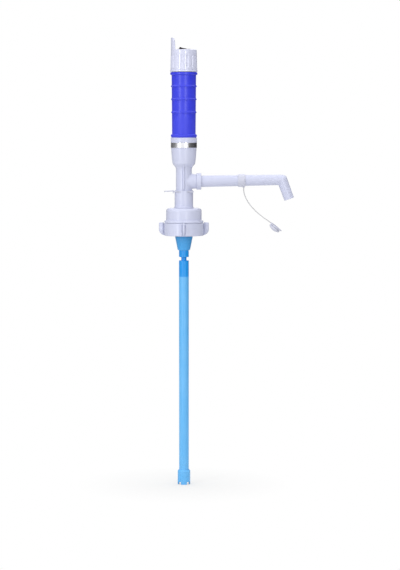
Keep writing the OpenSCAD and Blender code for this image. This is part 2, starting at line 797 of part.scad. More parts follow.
module grip_sleeve() {
    color(blue) difference() {
        union() {
            translate([0, 0, grip_z]) cylinder(r1 = grip_foot_r, r2 = grip_head_r, h = grip_top_z - grip_z);
            disc(grip_foot_r + grip_flange_out, grip_z, grip_z + grip_foot_h);
            disc(grip_head_r + grip_flange_out, grip_top_z - grip_top_h, grip_top_z);
            for (i = [0:2])
                grip_bead(grip_top_z - grip_ring_drop - grip_ring_pitch * i);
        }
        disc(grip_in_r, grip_z - cut, grip_top_z + cut);
    }
}

module grip_bead(z) {
    r = mix(grip_foot_r, grip_head_r, (z - grip_z) / (grip_top_z - grip_z));
    rotate_extrude() polygon([
        [grip_in_r, z - grip_ring_h / 2], [r, z - grip_ring_h / 2], [r + grip_ring_out, z - grip_ring_h / 4],
        [r + grip_ring_out, z + grip_ring_h / 4], [r, z + grip_ring_h / 2], [grip_in_r, z + grip_ring_h / 2]
    ]);
}

module trim_band() {
    color(chrome) pipe(rim_r + snug, rim_r + band_t, band_z, collar_z);
}

module cap_seal() {
    color(rubber) pipe(tube_r + snug, cap_in_r + cap_wall / 2, grip_top_z, grip_top_z + cap_seal_t);
}

module bulkhead() {
    color(black) difference() {
        disc(tube_in_r - snug, bulkhead_z, contact_z);
        translate([-lead_x, 0, 0]) disc(lead_r + snug, bulkhead_z - cut, contact_z + cut);
        block(strip_in - slack, tube_r, -strip_w / 2 - slack, strip_w / 2 + slack,
            bulkhead_z - cut, contact_z + cut);
    }
}

module lower_contact() {
    color(brass) disc(lead_x + 2 * lead_r, contact_z, cells_z);
}

module contact_strip() {
    color(brass) union() {
        block(strip_in, strip_out, -strip_w / 2, strip_w / 2, end_cap_z + cut, tube_top_z + strip_t);
        block(strip_in - strip_foot, strip_out, -strip_w / 2, strip_w / 2,
            tube_top_z, tube_top_z + strip_t);
    }
}

module cell(z) {
    union() {
        disc(button_d / 2, z, z + button_h + tuck);
        disc(cell_r, z + button_h, z + cell_l);
    }
}

module cell_lower() {
    color(label) cell(cells_z);
}

module cell_upper() {
    color(label) cell(cells_z + cell_l);
}

module motor_plate() {
    color(steel) difference() {
        disc(pocket_r - run_gap, floor_z, motor_z);
        disc(boss_r + 2 * run_gap, floor_z - cut, motor_z + cut);
        for (s = [-1, 1])
            translate([0, s * screw_r, 0]) disc(screw_d / 2 + snug, floor_z - cut, motor_z + cut);
    }
}

module motor_can() {
    color(steel) difference() {
        union() {
            disc(motor_d / 2, motor_z, motor_top_z);
            disc(boss_r, motor_z - boss_h, motor_z + tuck);
        }
        disc(motor_shaft_r + run_gap, motor_z - boss_h - cut, motor_z + shaft_in + slack);
        for (s = [-1, 1])
            translate([0, s * screw_r, 0])
                disc(screw_d / 2 + snug, motor_z - cut, motor_z + screw_in + slack);
    }
}

module motor_end_cap() {
    color(black) disc(motor_d / 2 - end_cap_step, motor_top_z, end_cap_z);
}

module motor_terminals() {
    color(brass) for (s = [-1, 1])
        translate([s * (terminal_x + terminal_t / 2), 0, 0]) block(-terminal_t / 2, terminal_t / 2,
            -terminal_w / 2, terminal_w / 2, end_cap_z, end_cap_z + terminal_h);
}

module motor_leads() {
    color(red) union() {
        translate([-lead_x, 0, 0]) disc(lead_r, end_cap_z + 2 * slack, contact_z);
        translate([0, 0, end_cap_z + terminal_h - lead_r - part_gap])
            rod_x(lead_r, terminal_x + terminal_t, strip_in);
    }
}

module motor_screws() {
    color(steel) for (s = [-1, 1])
        translate([0, s * screw_r, 0]) union() {
            disc(screw_head_d / 2, floor_z - screw_head_h, floor_z);
            disc(screw_d / 2, floor_z - tuck, motor_z + screw_in);
        }
}

module shaft_seal() {
    color(rubber) pipe(drive_r + run_gap, seal_d / 2, seal_z, retainer_z);
}

module seal_retainer() {
    color(steel) pipe(drive_r + 3 * slack, coupling_bay_d / 2 - run_gap,
        retainer_z, retainer_z + retainer_t);
}

module intake_adapter() {
    color(sky) difference() {
        union() {
            disc(adapter_r, cone_z, adapter_z);
            translate([0, 0, cone_end_z])
                cylinder(r1 = adapter_cone_d / 2, r2 = adapter_r, h = adapter_cone_l);
            disc(dip_r, stub_z, cone_end_z + tuck);
            disc(waist_d / 2, dip_z - tuck, stub_z + tuck);
            disc(plug_r, dip_z - plug_l, dip_z);
        }
        disc(socket_r, spigot_end_z, adapter_z + cut);
        translate([0, 0, cone_end_z])
            cylinder(r1 = plug_bore_r, r2 = spigot_bore_r, h = spigot_end_z - cone_end_z + 0.01);
        disc(plug_bore_r, dip_z - plug_l - cut, cone_end_z + tuck);
    }
}

module adapter_seal() {
    color(rubber) o_ring(spigot_r - adapter_seal_t, spigot_r, adapter_seal_z);
}

module dip_tube() {
    color(sky) pipe(dip_in_r, dip_r, dip_end_z, dip_z);
}

module shaft_guides() {
    color(white) for (i = [1:3]) {
        z = mix(dip_z - plug_l, dip_end_z, i / 4);
        difference() {
            disc(dip_in_r - snug, z - guide_t / 2, z + guide_t / 2);
            disc(drive_r + run_gap, z - guide_t, z + guide_t);
            for (k = [0:2])
                rotate([0, 0, 120 * k]) translate([(drive_r + dip_in_r) / 2 + slack, 0, 0])
                    disc((dip_in_r - drive_r) / 2 - guide_wall, z - guide_t, z + guide_t);
        }
    }
}

module intake_foot() {
    color(sky) difference() {
        union() {
            disc(foot_r, foot_end_z, foot_top_z - foot_edge);
            translate([0, 0, foot_top_z - foot_edge])
                cylinder(r1 = foot_r, r2 = foot_r - 0.75 * foot_edge, h = foot_edge);
        }
        disc(foot_in_r, dip_end_z, foot_top_z + cut);
        disc(dip_in_r, dip_end_z - cut, dip_end_z + cut);
        disc(bay_r, bay_end_z, dip_end_z - cut);
        disc(bush_d / 2 + snug, foot_end_z - cut, bay_end_z + cut);
        disc(bay_r, foot_end_z - cut, floor_end_z);
        for (k = [0:5])
            rotate([0, 0, 60 * k + 30]) translate([(bush_d / 2 + bay_r) / 2, 0, 0])
                disc(intake_d / 2, floor_end_z - cut, bay_end_z + cut);
        for (k = [0:1])
            rotate([0, 0, 90 * k + 45]) block(-foot_r - cut, foot_r + cut, -rim_slot_w / 2, rim_slot_w / 2,
                foot_end_z - cut, floor_end_z);
    }
}

module foot_bush() {
    color(white) pipe(drive_r + run_gap, bush_d / 2, floor_end_z - bush_out, bay_end_z + bush_out);
}

module switch_cap() {
    color(white) difference() {
        union() {
            difference() {
                rotate_extrude() polygon([
                    [0, cap_z], [cap_hem_r, cap_z], [cap_hem_r, cap_z + cap_hem_h],
                    [cap_foot_r, cap_z + cap_hem_h + cap_hem_out], [cap_r, cap_top_z - cap_edge],
                    [cap_r - 0.3 * cap_edge, cap_top_z - 0.3 * cap_edge],
                    [cap_r - cap_edge, cap_top_z], [0, cap_top_z]
                ]);
                for (k = [0:flutes - 1])
                    rotate([0, 0, 360 / flutes * k + flute_turn])
                        translate([flute_foot_r + flute_r - flute_depth, 0, flute_z])
                            rotate([0, -flute_lean, 0]) cylinder(r = flute_r, h = flute_top_z - flute_z);
            }
            intersection() {
                pipe(cap_r - guard_t, cap_r, guard_z, guard_top_z + cut);
                translate([-cap_r - cut, 0, 0]) rotate([90, 0, 90]) linear_extrude(cap_r) polygon(concat(
                    [[-guard_foot_w / 2, guard_z], [guard_foot_w / 2, guard_z]],
                    arc(guard_in, guard_top_z - guard_corner, guard_corner, 0, 90, 10),
                    arc(-guard_in, guard_top_z - guard_corner, guard_corner, 90, 180, 10)));
            }
        }
        difference() {
            disc(cap_in_r, cap_z - cut, cap_ceiling_z);
            pipe(skirt_in_r, skirt_r, plate_top_z, cap_ceiling_z + cut);
        }
        block(-switch_l / 2 - snug, switch_l / 2 + snug, -switch_w / 2 - snug, switch_w / 2 + snug,
            cap_ceiling_z - cut, cap_top_z + cut);
    }
}

module switch_body() {
    color(black) difference() {
        union() {
            block(-switch_l / 2, switch_l / 2, -switch_w / 2, switch_w / 2, switch_z, cap_top_z + tuck);
            block(-switch_l / 2 - bezel_out, switch_l / 2 + bezel_out, -switch_w / 2 - bezel_out,
                switch_w / 2 + bezel_out, cap_top_z, bezel_top_z);
        }
        block(switch_wall - switch_l / 2, switch_l / 2 - switch_wall, switch_wall - switch_w / 2,
            switch_w / 2 - switch_wall, pivot_z - rocker_room, bezel_top_z + cut);
        translate([0, 0, pivot_z]) rotate([90, 0, 0]) disc(rocker_pin_d / 2 + snug, -switch_w, switch_w);
    }
}

module switch_terminals() {
    color(brass) for (s = [-1, 1])
        translate([s * blade_x, 0, 0])
            block(-blade_w / 2, blade_w / 2, -blade_t / 2, blade_t / 2, plate_top_z, switch_z);
}

module cap_contact() {
    color(brass) disc(skirt_r, plate_z, plate_top_z);
}

module battery_spring() {
    turns = 4;
    wire = 0.6;
    wide = 9;
    narrow = 5;
    color(steel) sweep([for (i = [0:turns * 14])
        let (t = i / (turns * 14))
        let (r = mix(wide, narrow, t))
        [r * cos(360 * turns * t), r * sin(360 * turns * t),
            mix(plate_z - wire, cells_top_z + wire, t)]], wire, 6);
}

module ring_contact() {
    color(brass) pipe(skirt_r + snug, tube_r - 2 * slack, contact_ring_z, contact_ring_z + ring_contact_t);
}

module rocker_profile() {
    intersection() {
        polygon([
            [-rocker_half, -1], [rocker_half, -1], [rocker_half, rocker_rise], [rocker_tip, rocker_rise],
            [rocker_flat, rocker_rise - rocker_dish], [-rocker_flat, rocker_rise - rocker_dish],
            [-rocker_tip, rocker_rise], [-rocker_half, rocker_rise]
        ]);
        circle(r = rocker_half);
    }
}

module at_rocker() {
    translate([0, 0, pivot_z]) rotate([0, rocker_tilt, 0]) children();
}

module switch_rocker() {
    color(black) at_rocker() difference() {
        rotate([90, 0, 0]) translate([0, 0, -rocker_w / 2]) linear_extrude(rocker_w) rocker_profile();
        rotate([90, 0, 0]) disc(rocker_pin_d / 2 + run_gap, -switch_w, switch_w);
    }
}

module rocker_pin() {
    color(steel) translate([0, 0, pivot_z]) rotate([90, 0, 0])
        disc(rocker_pin_d / 2, -switch_w / 2, switch_w / 2);
}

module motor_shaft() {
    color(steel) disc(motor_shaft_r, drive_top_z + 2 * run_gap, motor_z + shaft_in);
}

module shaft_coupling() {
    color(steel) difference() {
        disc(coupling_d / 2, coupling_z, coupling_top_z);
        disc(drive_r + snug, coupling_z - cut, drive_top_z);
        disc(motor_shaft_r + snug, drive_top_z - tuck, coupling_top_z + cut);
    }
}

module drive_shaft() {
    color(steel) disc(drive_r, drive_end_z, drive_top_z);
}

module impeller() {
    color(white) difference() {
        union() {
            disc(drive_r + hub_wall, impeller_z, impeller_z + impeller_h);
            disc(impeller_r, impeller_z, impeller_z + disc_t);
            for (k = [0:4])
                rotate([0, 0, 72 * k]) block(drive_r + hub_wall / 2, impeller_r - 2 * run_gap,
                    -vane_t / 2, vane_t / 2, impeller_z, impeller_z + impeller_h);
        }
        disc(drive_r + snug, impeller_z - cut, impeller_z + impeller_h + cut);
    }
}

module coupling_nut() {
    color(white) translate([0, 0, spout_z]) difference() {
        union() {
            taper_x(nut_d / 2 - nut_edge, nut_d / 2, nut_x, nut_x + nut_edge);
            rod_x(nut_d / 2, nut_x + nut_edge, nut_end_x - nut_edge);
            taper_x(nut_d / 2, nut_d / 2 - nut_edge, nut_end_x - nut_edge, nut_end_x);
        }
        rod_x(nut_in_r, nut_x - cut, nut_end_x - nut_end_t);
        rod_x(nut_end_in_r, nut_x, nut_end_x + cut);
    }
}

// The frame of the spout past the nut: along X from its seal, tilted up
module at_spout() {
    translate([spout_x, 0, spout_z]) rotate([0, -spout_tilt, 0]) children();
}

module at_elbow() {
    at_spout() translate([elbow_x - spout_x, 0, 0]) children();
}

module spout_tube() {
    spout_l = elbow_x - spout_x;
    color(white) difference() {
        union() {
            translate([0, 0, spout_z]) rod_x(collar_end_r, spout_x, nut_end_x - nut_end_t - slack);
            at_spout() taper_x(spout_r, spout_end_r, tuck, spout_l);
            at_elbow() sphere(r = spout_end_r + run_gap);
            at_elbow() rotate([0, outlet_angle, 0]) cylinder(r1 = spout_end_r, r2 = outlet_r, h = outlet_l);
        }
        at_spout() taper_x(spout_bore_r, outlet_bore_r, 0, spout_l);
        at_spout() rod_x(spout_bore_r, -cut, tuck);
        at_elbow() sphere(r = outlet_bore_r + run_gap);
        at_elbow() rotate([0, outlet_angle, 0]) cylinder(r = outlet_bore_r, h = outlet_l + cut);
    }
}

module spout_seal() {
    color(rubber) translate([0, 0, spout_z]) difference() {
        rod_x(branch_end_r - 2 * slack, branch_end_x, spout_x);
        rod_x(spout_bore_r, branch_end_x - cut, spout_x + cut);
    }
}

module tether_ring() {
    color(white) union() {
        at_spout() translate([tether_x - spout_x, 0, 0]) rotate([0, 90, 0]) rotate_extrude() polygon([
            [tether_ring_in, -tether_ring_w / 2], [tether_ring_r - tuck, -tether_ring_w / 2],
            [tether_ring_r, tether_ring_edge - tether_ring_w / 2],
            [tether_ring_r, tether_ring_w / 2 - tether_ring_edge],
            [tether_ring_r - tuck, tether_ring_w / 2], [tether_ring_in, tether_ring_w / 2]
        ]);
        translate([lug_x, 0, 0]) disc(tether_d / 2 + lug_out, lug_z, tether_ring_z - tether_ring_r + tuck);
    }
}

module tether() {
    color(white) sweep([for (p = tether_route) [p[0], 0, p[1]]], tether_d / 2, 8);
}

function dome_half(r, ball) = [
    for (i = [0:cap_dome_steps]) let (x = r * i / cap_dome_steps) [x, ball - sqrt(ball * ball - x * x)]
];

module spout_cap() {
    half = spout_cap_plate_t / 2;
    outside = dome_half(cap_out_r, cap_dome_r);
    inside = dome_half(cap_bore_r, cap_dome_in_r);
    color(white) translate([spout_cap_x, 0, spout_cap_z])
        rotate([0, spout_cap_turn, 0]) rotate([spout_cap_twist, 0, 0]) union() {
            rotate_extrude() polygon(concat(
                [for (p = outside) [p[0], half - cap_end_h + p[1]]],
                [[cap_out_r, -half], [cap_plate_r, -half], [cap_plate_r, half], [cap_bore_r, half]],
                [for (i = [cap_dome_steps:-1:0]) [inside[i][0], half - spout_cap_depth + inside[i][1]]]
            ));
            block(-cap_anchor, -cap_out_r + tuck, -anchor_w / 2, anchor_w / 2, -half, half);
            block(cap_out_r - tuck, cap_plate_r + spout_cap_lip, -lip_w / 2, lip_w / 2, -half, half);
        }
}

neck_cup();
neck_sleeve();
neck_gasket();
grip_ring();
wing_ring();
lock_clip();
pump_body();
swivel_seal();
battery_tube();
grip_sleeve();
trim_band();
cap_seal();
bulkhead();
lower_contact();
contact_strip();
cell_lower();
cell_upper();
motor_plate();
motor_can();
motor_end_cap();
motor_terminals();
motor_leads();
motor_screws();
shaft_seal();
seal_retainer();
intake_adapter();
adapter_seal();
dip_tube();
shaft_guides();
intake_foot();
foot_bush();
switch_cap();
switch_body();
switch_terminals();
cap_contact();
battery_spring();
ring_contact();
switch_rocker();
rocker_pin();
motor_shaft();
shaft_coupling();
drive_shaft();
impeller();
coupling_nut();
spout_tube();
spout_seal();
tether_ring();
tether();
spout_cap();
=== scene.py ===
import json
import math

import bpy
import numpy as np
from mathutils import Matrix, Vector


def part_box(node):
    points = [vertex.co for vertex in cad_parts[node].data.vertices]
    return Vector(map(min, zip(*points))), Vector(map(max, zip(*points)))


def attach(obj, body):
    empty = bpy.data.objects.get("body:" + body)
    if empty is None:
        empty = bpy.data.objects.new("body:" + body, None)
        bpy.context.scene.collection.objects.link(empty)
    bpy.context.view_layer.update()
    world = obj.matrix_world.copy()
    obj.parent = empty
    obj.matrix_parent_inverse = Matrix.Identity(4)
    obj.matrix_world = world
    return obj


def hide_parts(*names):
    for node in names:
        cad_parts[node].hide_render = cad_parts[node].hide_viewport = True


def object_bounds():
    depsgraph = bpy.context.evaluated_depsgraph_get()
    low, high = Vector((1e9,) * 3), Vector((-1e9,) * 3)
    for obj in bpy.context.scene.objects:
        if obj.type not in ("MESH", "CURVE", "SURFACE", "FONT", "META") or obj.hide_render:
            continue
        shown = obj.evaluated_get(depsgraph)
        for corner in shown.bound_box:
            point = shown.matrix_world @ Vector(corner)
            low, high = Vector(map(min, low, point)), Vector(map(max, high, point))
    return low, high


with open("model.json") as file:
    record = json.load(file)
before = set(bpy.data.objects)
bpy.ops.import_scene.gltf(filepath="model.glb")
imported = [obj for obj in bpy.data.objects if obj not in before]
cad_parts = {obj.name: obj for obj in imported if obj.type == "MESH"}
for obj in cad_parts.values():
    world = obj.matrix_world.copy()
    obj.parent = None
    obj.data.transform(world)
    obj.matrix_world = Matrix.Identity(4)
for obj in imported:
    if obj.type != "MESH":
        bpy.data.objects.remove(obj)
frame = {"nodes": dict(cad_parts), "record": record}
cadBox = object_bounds()
slotOf = {part["node"]: part["material_slot"] for part in frame["record"]["subparts"]}
bodyOf = {node: body for body, group in frame["record"]["behaviour"]["bodies"].items() for node in group}
mm = 0.001
tau = 2 * math.pi


class Look(dict):
    # a dictionary of settings that can be read as look.width too
    __getattr__ = dict.__getitem__


# Camera, as the photograph was taken: from a little above the chrome band, looking slightly down

shot = Look(
    eye=(0.0267, -3.4, 0.135), aim=(0.0267, 0.0, -0.0218),
    lens=129.7, sensor=36.0, shift=-0.105, near=0.05, far=50.0,
)


def addObject(name, data):
    thing = bpy.data.objects.new(name, data)
    bpy.context.scene.collection.objects.link(thing)
    return thing


def pointAt(thing, target):
    # turns a lamp or camera so that its -Z looks at the target
    thing.rotation_mode = "QUATERNION"
    thing.rotation_quaternion = (Vector(target) - thing.location).to_track_quat("-Z", "Y")


def makeCamera():
    data = bpy.data.cameras.new("shotCamera")
    data.lens = shot.lens
    data.sensor_width = shot.sensor
    data.shift_y = shot.shift
    data.clip_start = shot.near
    data.clip_end = shot.far
    camera = addObject("shotCamera", data)
    camera.location = shot.eye
    pointAt(camera, shot.aim)
    bpy.context.scene.camera = camera


makeCamera()
print("camera set")


# Shader sums as Python sums

class Wire:
    # one output socket of a node tree; + - * / and ** on it add Math nodes
    def __init__(self, tree, socket=None):
        self.tree = tree
        self.socket = socket

    def node(self, kind, sockets=None, settings=None, out=0):
        made = self.tree.nodes.new("ShaderNode" + kind)
        for key, value in (settings or {}).items():
            setattr(made, key, value)
        for key, value in (sockets or {}).items():
            if isinstance(value, Wire):
                self.tree.links.new(value.socket, made.inputs[key])
            else:
                made.inputs[key].default_value = value
        return Wire(self.tree, made.outputs[out] if made.outputs else None)

    def sum(self, operation, a, b):
        return self.node("Math", {0: a, 1: b}, {"operation": operation})

    def clamped(self):
        return self.node("Math", {0: self, 1: 0.0}, {"operation": "ADD", "use_clamp": True})

    def __add__(self, other):
        return self.sum("ADD", self, other)

    __radd__ = __add__

    def __sub__(self, other):
        return self.sum("SUBTRACT", self, other)

    def __rsub__(self, other):
        return self.sum("SUBTRACT", other, self)

    def __mul__(self, other):
        return self.sum("MULTIPLY", self, other)

    def __truediv__(self, other):
        return self.sum("DIVIDE", self, other)

    def __pow__(self, other):
        return self.sum("POWER", self, other)

    def blend(self, a, b):
        # colour a where this value is 0, colour b where it is 1
        return self.node("Mix", {0: self, 6: a, 7: b}, {"data_type": "RGBA"}, out=2)

    def place(self):
        # object coordinates
        return self.node("TexCoord", out="Object")

    def part(self, axis):
        # one coordinate of a vector
        return self.node("SeparateXYZ", {"Vector": self}, out=axis)


def newMaterial(name):
    material = bpy.data.materials.new(name)
    material.use_nodes = True
    material.node_tree.nodes.clear()
    return material, Wire(material.node_tree)


def tone(red, green, blue):
    # a screen colour, 0 to 255, as a shader's linear colour
    c = np.array([red, green, blue]) / 255
    linear = np.where(c <= 0.04045, c / 12.92, ((c + 0.055) / 1.055) ** 2.4)
    return (*linear.tolist(), 1.0)


def noiseAt(wire, vector, scale, detail=2.0):
    return wire.node("TexNoise", {"Vector": vector, "Scale": scale, "Detail": detail})


def stretched(wire, scale):
    # object coordinates, scaled apart along X, Y and Z
    return wire.node("Mapping", {"Vector": wire.place(), "Scale": scale})


def finishShader(wire, colour, roughness, bumpHeight, bumpDepth, fixed=None):
    # the principled shader that every finish ends in; fixed holds what is the same all over
    normal = wire.node("Bump", {"Strength": 1.0, "Distance": bumpDepth, "Height": bumpHeight})
    sockets = {"Base Color": colour, "Roughness": roughness, "Normal": normal}
    sockets.update(fixed or {})
    shader = wire.node("BsdfPrincipled", sockets)
    wire.node("OutputMaterial", {"Surface": shader})


# Finishes

def mouldedPlastic(name, pale, deep, rough, texture, shine=0.5):
    # injection-moulded plastic: faint flow clouds in the colour, uneven gloss, shallow orange peel
    look = Look(
        cloud=28.0, cloudShare=0.7, flow=(60.0, 60.0, 9.0), flowShare=0.5, deepen=0.3, peel=320.0,
        peelDeep=0.000006, gloss=190.0,
    )
    material, wire = newMaterial(name)
    place = wire.place()
    cloud = noiseAt(wire, place, look.cloud, 3.0)
    flow = noiseAt(wire, stretched(wire, look.flow), 1.0)
    peel = noiseAt(wire, place, look.peel, 1.0)
    shade = (cloud * look.cloudShare + flow * look.flowShare - look.deepen).clamped()
    colour = shade.blend(deep, pale)
    gloss = rough + (noiseAt(wire, place, look.gloss, 4.0) - 0.5) * texture
    finishShader(wire, colour, gloss, peel, look.peelDeep, {"Specular IOR Level": shine})
    return material


def gripPlastic(name):
    # soft-touch blue: fine pebble all over, glossier from the lowest ring upwards
    look = Look(
        pale=tone(62, 70, 226), deep=tone(48, 57, 214), cloud=45.0, duller=0.46, glossier=0.27,
        change=0.152, fade=0.012, pebble=600.0, pebbleRough=0.05, pebbleDeep=0.00001,
    )
    material, wire = newMaterial(name)
    place = wire.place()
    height = place.part("Z")
    upper = ((height - look.change) / look.fade).clamped()
    pebble = wire.node("TexVoronoi", {"Vector": place, "Scale": look.pebble}, {"feature": "SMOOTH_F1"})
    cloud = noiseAt(wire, place, look.cloud, 3.0)
    colour = cloud.blend(look.deep, look.pale)
    rough = look.duller - upper * (look.duller - look.glossier) + pebble * look.pebbleRough
    finishShader(wire, colour, rough, pebble, look.pebbleDeep)
    return material


def polishedChrome(name):
    # bright plated band: hairlines round it, a little haze
    look = Look(
        dull=tone(238, 238, 242), bright=tone(246, 246, 250), hair=(40.0, 40.0, 5200.0), haze=120.0,
        rough=0.10, hairRough=0.10, hairDeep=0.00001,
    )
    material, wire = newMaterial(name)
    hair = noiseAt(wire, stretched(wire, look.hair), 1.0, 3.0)
    haze = noiseAt(wire, wire.place(), look.haze, 3.0)
    colour = haze.blend(look.dull, look.bright)
    rough = look.rough + hair * look.hairRough
    finishShader(wire, colour, rough, hair, look.hairDeep, {"Metallic": 1.0})
    return material


def tubePlastic(name):
    # sky-blue plastic with fine lines along it: deeper on the cone, deepest from the stub to the plug's end
    look = Look(
        pale=tone(112, 186, 240), body=tone(86, 174, 236), deep=tone(26, 148, 230), cone=tone(70, 163, 230),
        stubTop=-0.0632, plugEnd=-0.1083, fade=0.002, cloud=30.0, lines=(1500.0, 1500.0, 14.0),
        lineRough=0.12, lineDeep=0.00002, rough=0.22,
    )
    material, wire = newMaterial(name)
    place = wire.place()
    height = place.part("Z")
    lines = noiseAt(wire, stretched(wire, look.lines), 1.0)
    cloud = noiseAt(wire, place, look.cloud)
    below = ((look.stubTop - height) / look.fade).clamped()
    above = ((height - look.plugEnd) / look.fade).clamped()
    plugged = above.blend(cloud.blend(look.body, look.pale), look.deep)
    colour = below.blend(look.cone, plugged)
    finishShader(wire, colour, look.rough + lines * look.lineRough, lines, look.lineDeep)
    return material


def darkMoulding(name, colour, sheen, rough, grain, depth, shine=0.5):
    # black plastic, seals and cell jackets: even colour broken by a fine grain
    look = Look(cloud=60.0, uneven=0.15)
    material, wire = newMaterial(name)
    place = wire.place()
    fine = noiseAt(wire, place, grain, 3.0)
    shade = noiseAt(wire, place, look.cloud).blend(colour, sheen)
    gloss = rough + (fine - 0.5) * look.uneven
    finishShader(wire, shade, gloss, fine, depth, {"Specular IOR Level": shine})
    return material


def drawnMetal(name, dull, bright, rough):
    # drawn or pressed metal: streaks along the part, brighter and duller
    look = Look(streak=(900.0, 900.0, 60.0), streakRough=0.15, streakDeep=0.00001)
    material, wire = newMaterial(name)
    streak = noiseAt(wire, stretched(wire, look.streak), 1.0, 3.0)
    colour = streak.blend(dull, bright)
    gloss = rough + streak * look.streakRough
    finishShader(wire, colour, gloss, streak, look.streakDeep, {"Metallic": 1.0})
    return material


finish = {
    "white_plastic": mouldedPlastic("glossWhite", tone(208, 211, 232), tone(199, 203, 226), 0.25, 0.08),
    "soft_white_plastic": mouldedPlastic("milkyWhite", tone(208, 210, 226), tone(198, 200, 216), 0.42, 0.12),
    "seal_rubber": darkMoulding("sealRubber", tone(40, 40, 42), tone(58, 58, 60), 0.70, 800.0, 0.00005),
    "blue_grip": gripPlastic("gripBlue"),
    "chrome_band": polishedChrome("bandChrome"),
    "sky_blue_plastic": tubePlastic("tubeBlue"),
    "black_plastic": darkMoulding(
        "switchBlack", tone(50, 47, 50), tone(60, 56, 60), 0.50, 1500.0, 0.00003, 0.05),
    "contact_brass": drawnMetal("contactBrass", tone(186, 150, 78), tone(214, 180, 104), 0.25),
    "cell_jacket": darkMoulding("cellJacket", tone(60, 66, 76), tone(74, 80, 92), 0.35, 300.0, 0.00002),
    "steel": drawnMetal("brightSteel", tone(176, 178, 182), tone(206, 208, 212), 0.24),
    "lead_insulation": darkMoulding("leadRed", tone(170, 30, 30), tone(190, 44, 40), 0.50, 700.0, 0.00002),
}
ownFinish = {
    "switch_cap": mouldedPlastic("capWhite", tone(218, 220, 240), tone(207, 210, 232), 0.16, 0.05, 0.85),
    "tether": mouldedPlastic("strapGrey", tone(206, 206, 207), tone(194, 194, 196), 0.45, 0.12),
}
print("finishes:", len(finish) + len(ownFinish))


def finishOf(node):
    # the finish of the node's slot, or its own where its plastic differs
    return ownFinish.get(node, finish[slotOf[node]])


# Surfaces worked out on grids

def boxOf(node):
    # lowest and highest corner of a CAD node, in mm
    low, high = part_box(node)
    return np.array(low) / mm, np.array(high) / mm


def sizeOf(node):
    # radius, foot and top of a CAD node about Z, in mm
    low, high = boxOf(node)
    return high[0], low[2], high[2]


def gridOf(x, y, z):
    # points from their coordinates, each given point by point, by row or by column
    return np.stack(np.broadcast_arrays(x, y, z), -1)


def cornerArc(before, here, after, rounding, steps):
    # the arc of that rounding which touches both sides of a corner, less where the sides are short; a point a
    # hair beyond each of its ends keeps the flats beside it flat
    limit = Look(straight=0.03, side=0.45, hair=0.15, hairShare=0.04)
    u, v = before - here, after - here
    uLength, vLength = np.linalg.norm(u), np.linalg.norm(v)
    u, v = u / uLength, v / vLength
    inside = math.acos(np.clip(u @ v, -1.0, 1.0))
    sweep = math.pi - inside
    if sweep < limit.straight:
        return here[None]
    reach = min(rounding / math.tan(inside / 2), limit.side * uLength, limit.side * vLength)
    radius = reach * math.tan(inside / 2)
    centre = here + (u + v) / np.linalg.norm(u + v) * radius / math.sin(inside / 2)
    t = np.linspace(0, 1, steps + 1)[:, None]
    first, last = here + u * reach - centre, here + v * reach - centre
    arc = centre + (np.sin((1 - t) * sweep) * first + np.sin(t * sweep) * last) / math.sin(sweep)
    hair = np.minimum(limit.hair, limit.hairShare * np.array([uLength, vLength]))
    return np.concatenate([[here + u * (reach + hair[0])], arc, [here + v * (reach + hair[1])]])


def roundLoop(corners, steps=5):
    # a closed outline from (out, along, rounding) corners, every one an arc, however small
    at = np.array([corner[:2] for corner in corners], float)
    size = [max(corner[2], 0.1) for corner in corners]
    arcs = [cornerArc(at[i - 1], at[i], at[(i + 1) % len(at)], size[i], steps) for i in range(len(at))]
    return np.concatenate(arcs)


def cutLong(loop, longest):
    # the same closed outline with no stretch longer than that
    after = np.roll(loop, -1, 0)
    pieces = np.maximum(1, np.ceil(np.linalg.norm(after - loop, axis=1) / longest)).astype(int)
    return np.concatenate([a + (b - a) * np.arange(n)[:, None] / n for a, b, n in zip(loop, after, pieces)])


def circle(columns):
    # angles in equal steps once round
    return np.arange(columns) / columns * tau


def spin(loop, axis="z", centre=(0, 0, 0), columns=144):
    # each (out, along) point goes round the axis: out times cosine, out times sine, along
    angle = circle(columns)
    out, along = loop[:, :1], loop[:, 1:]
    u, v = out * np.cos(angle), out * np.sin(angle)
    return (gridOf(u, v, along) if axis == "z" else gridOf(along, u, v)) + centre


def dentedSpin(loop, skin, look, copies):
    # a turned shape with a round-bottomed dent along both sides of each rib, as deep as skin says row by row
    part = tau / copies
    fine = np.linspace(-look.spread, look.spread, 41)
    each = np.concatenate([fine, np.linspace(look.spread, part - look.spread, 144 // copies)[1:-1]])
    angle = (tau / 4 + part * np.arange(copies)[:, None] + each).ravel()
    near = np.abs(np.tile(np.where(each > part / 2, part - each, each), copies))
    off = np.clip((loop[:, :1] * np.sin(near) - look.dentAt) / look.dentHalf, -1, 1)
    out = loop[:, :1] - look.dentDeep * skin * (0.5 + 0.5 * np.cos(math.pi * off))
    return gridOf(out * np.cos(angle), out * np.sin(angle), loop[:, 1:])


def roundRect(halfWide, halfHigh, rounding, arc=4, side=1):
    # a closed rectangle outline with round corners, its four sides cut into equal stretches
    signs = np.array([[1, 1], [-1, 1], [-1, -1], [1, -1]])
    core = np.array([halfWide, halfHigh]) - rounding
    angle = np.linspace(0, tau / 4, arc + 1)
    turns = angle[None] + np.arange(4)[:, None] * tau / 4
    points = (signs * core)[:, None] + rounding * np.stack([np.cos(turns), np.sin(turns)], -1)
    ends, starts = points[:, -1:], np.roll(points[:, :1], -1, 0)
    share = (np.arange(1, side) / side)[None, :, None]
    return np.concatenate([points, ends + (starts - ends) * share], 1).reshape(-1, 2)


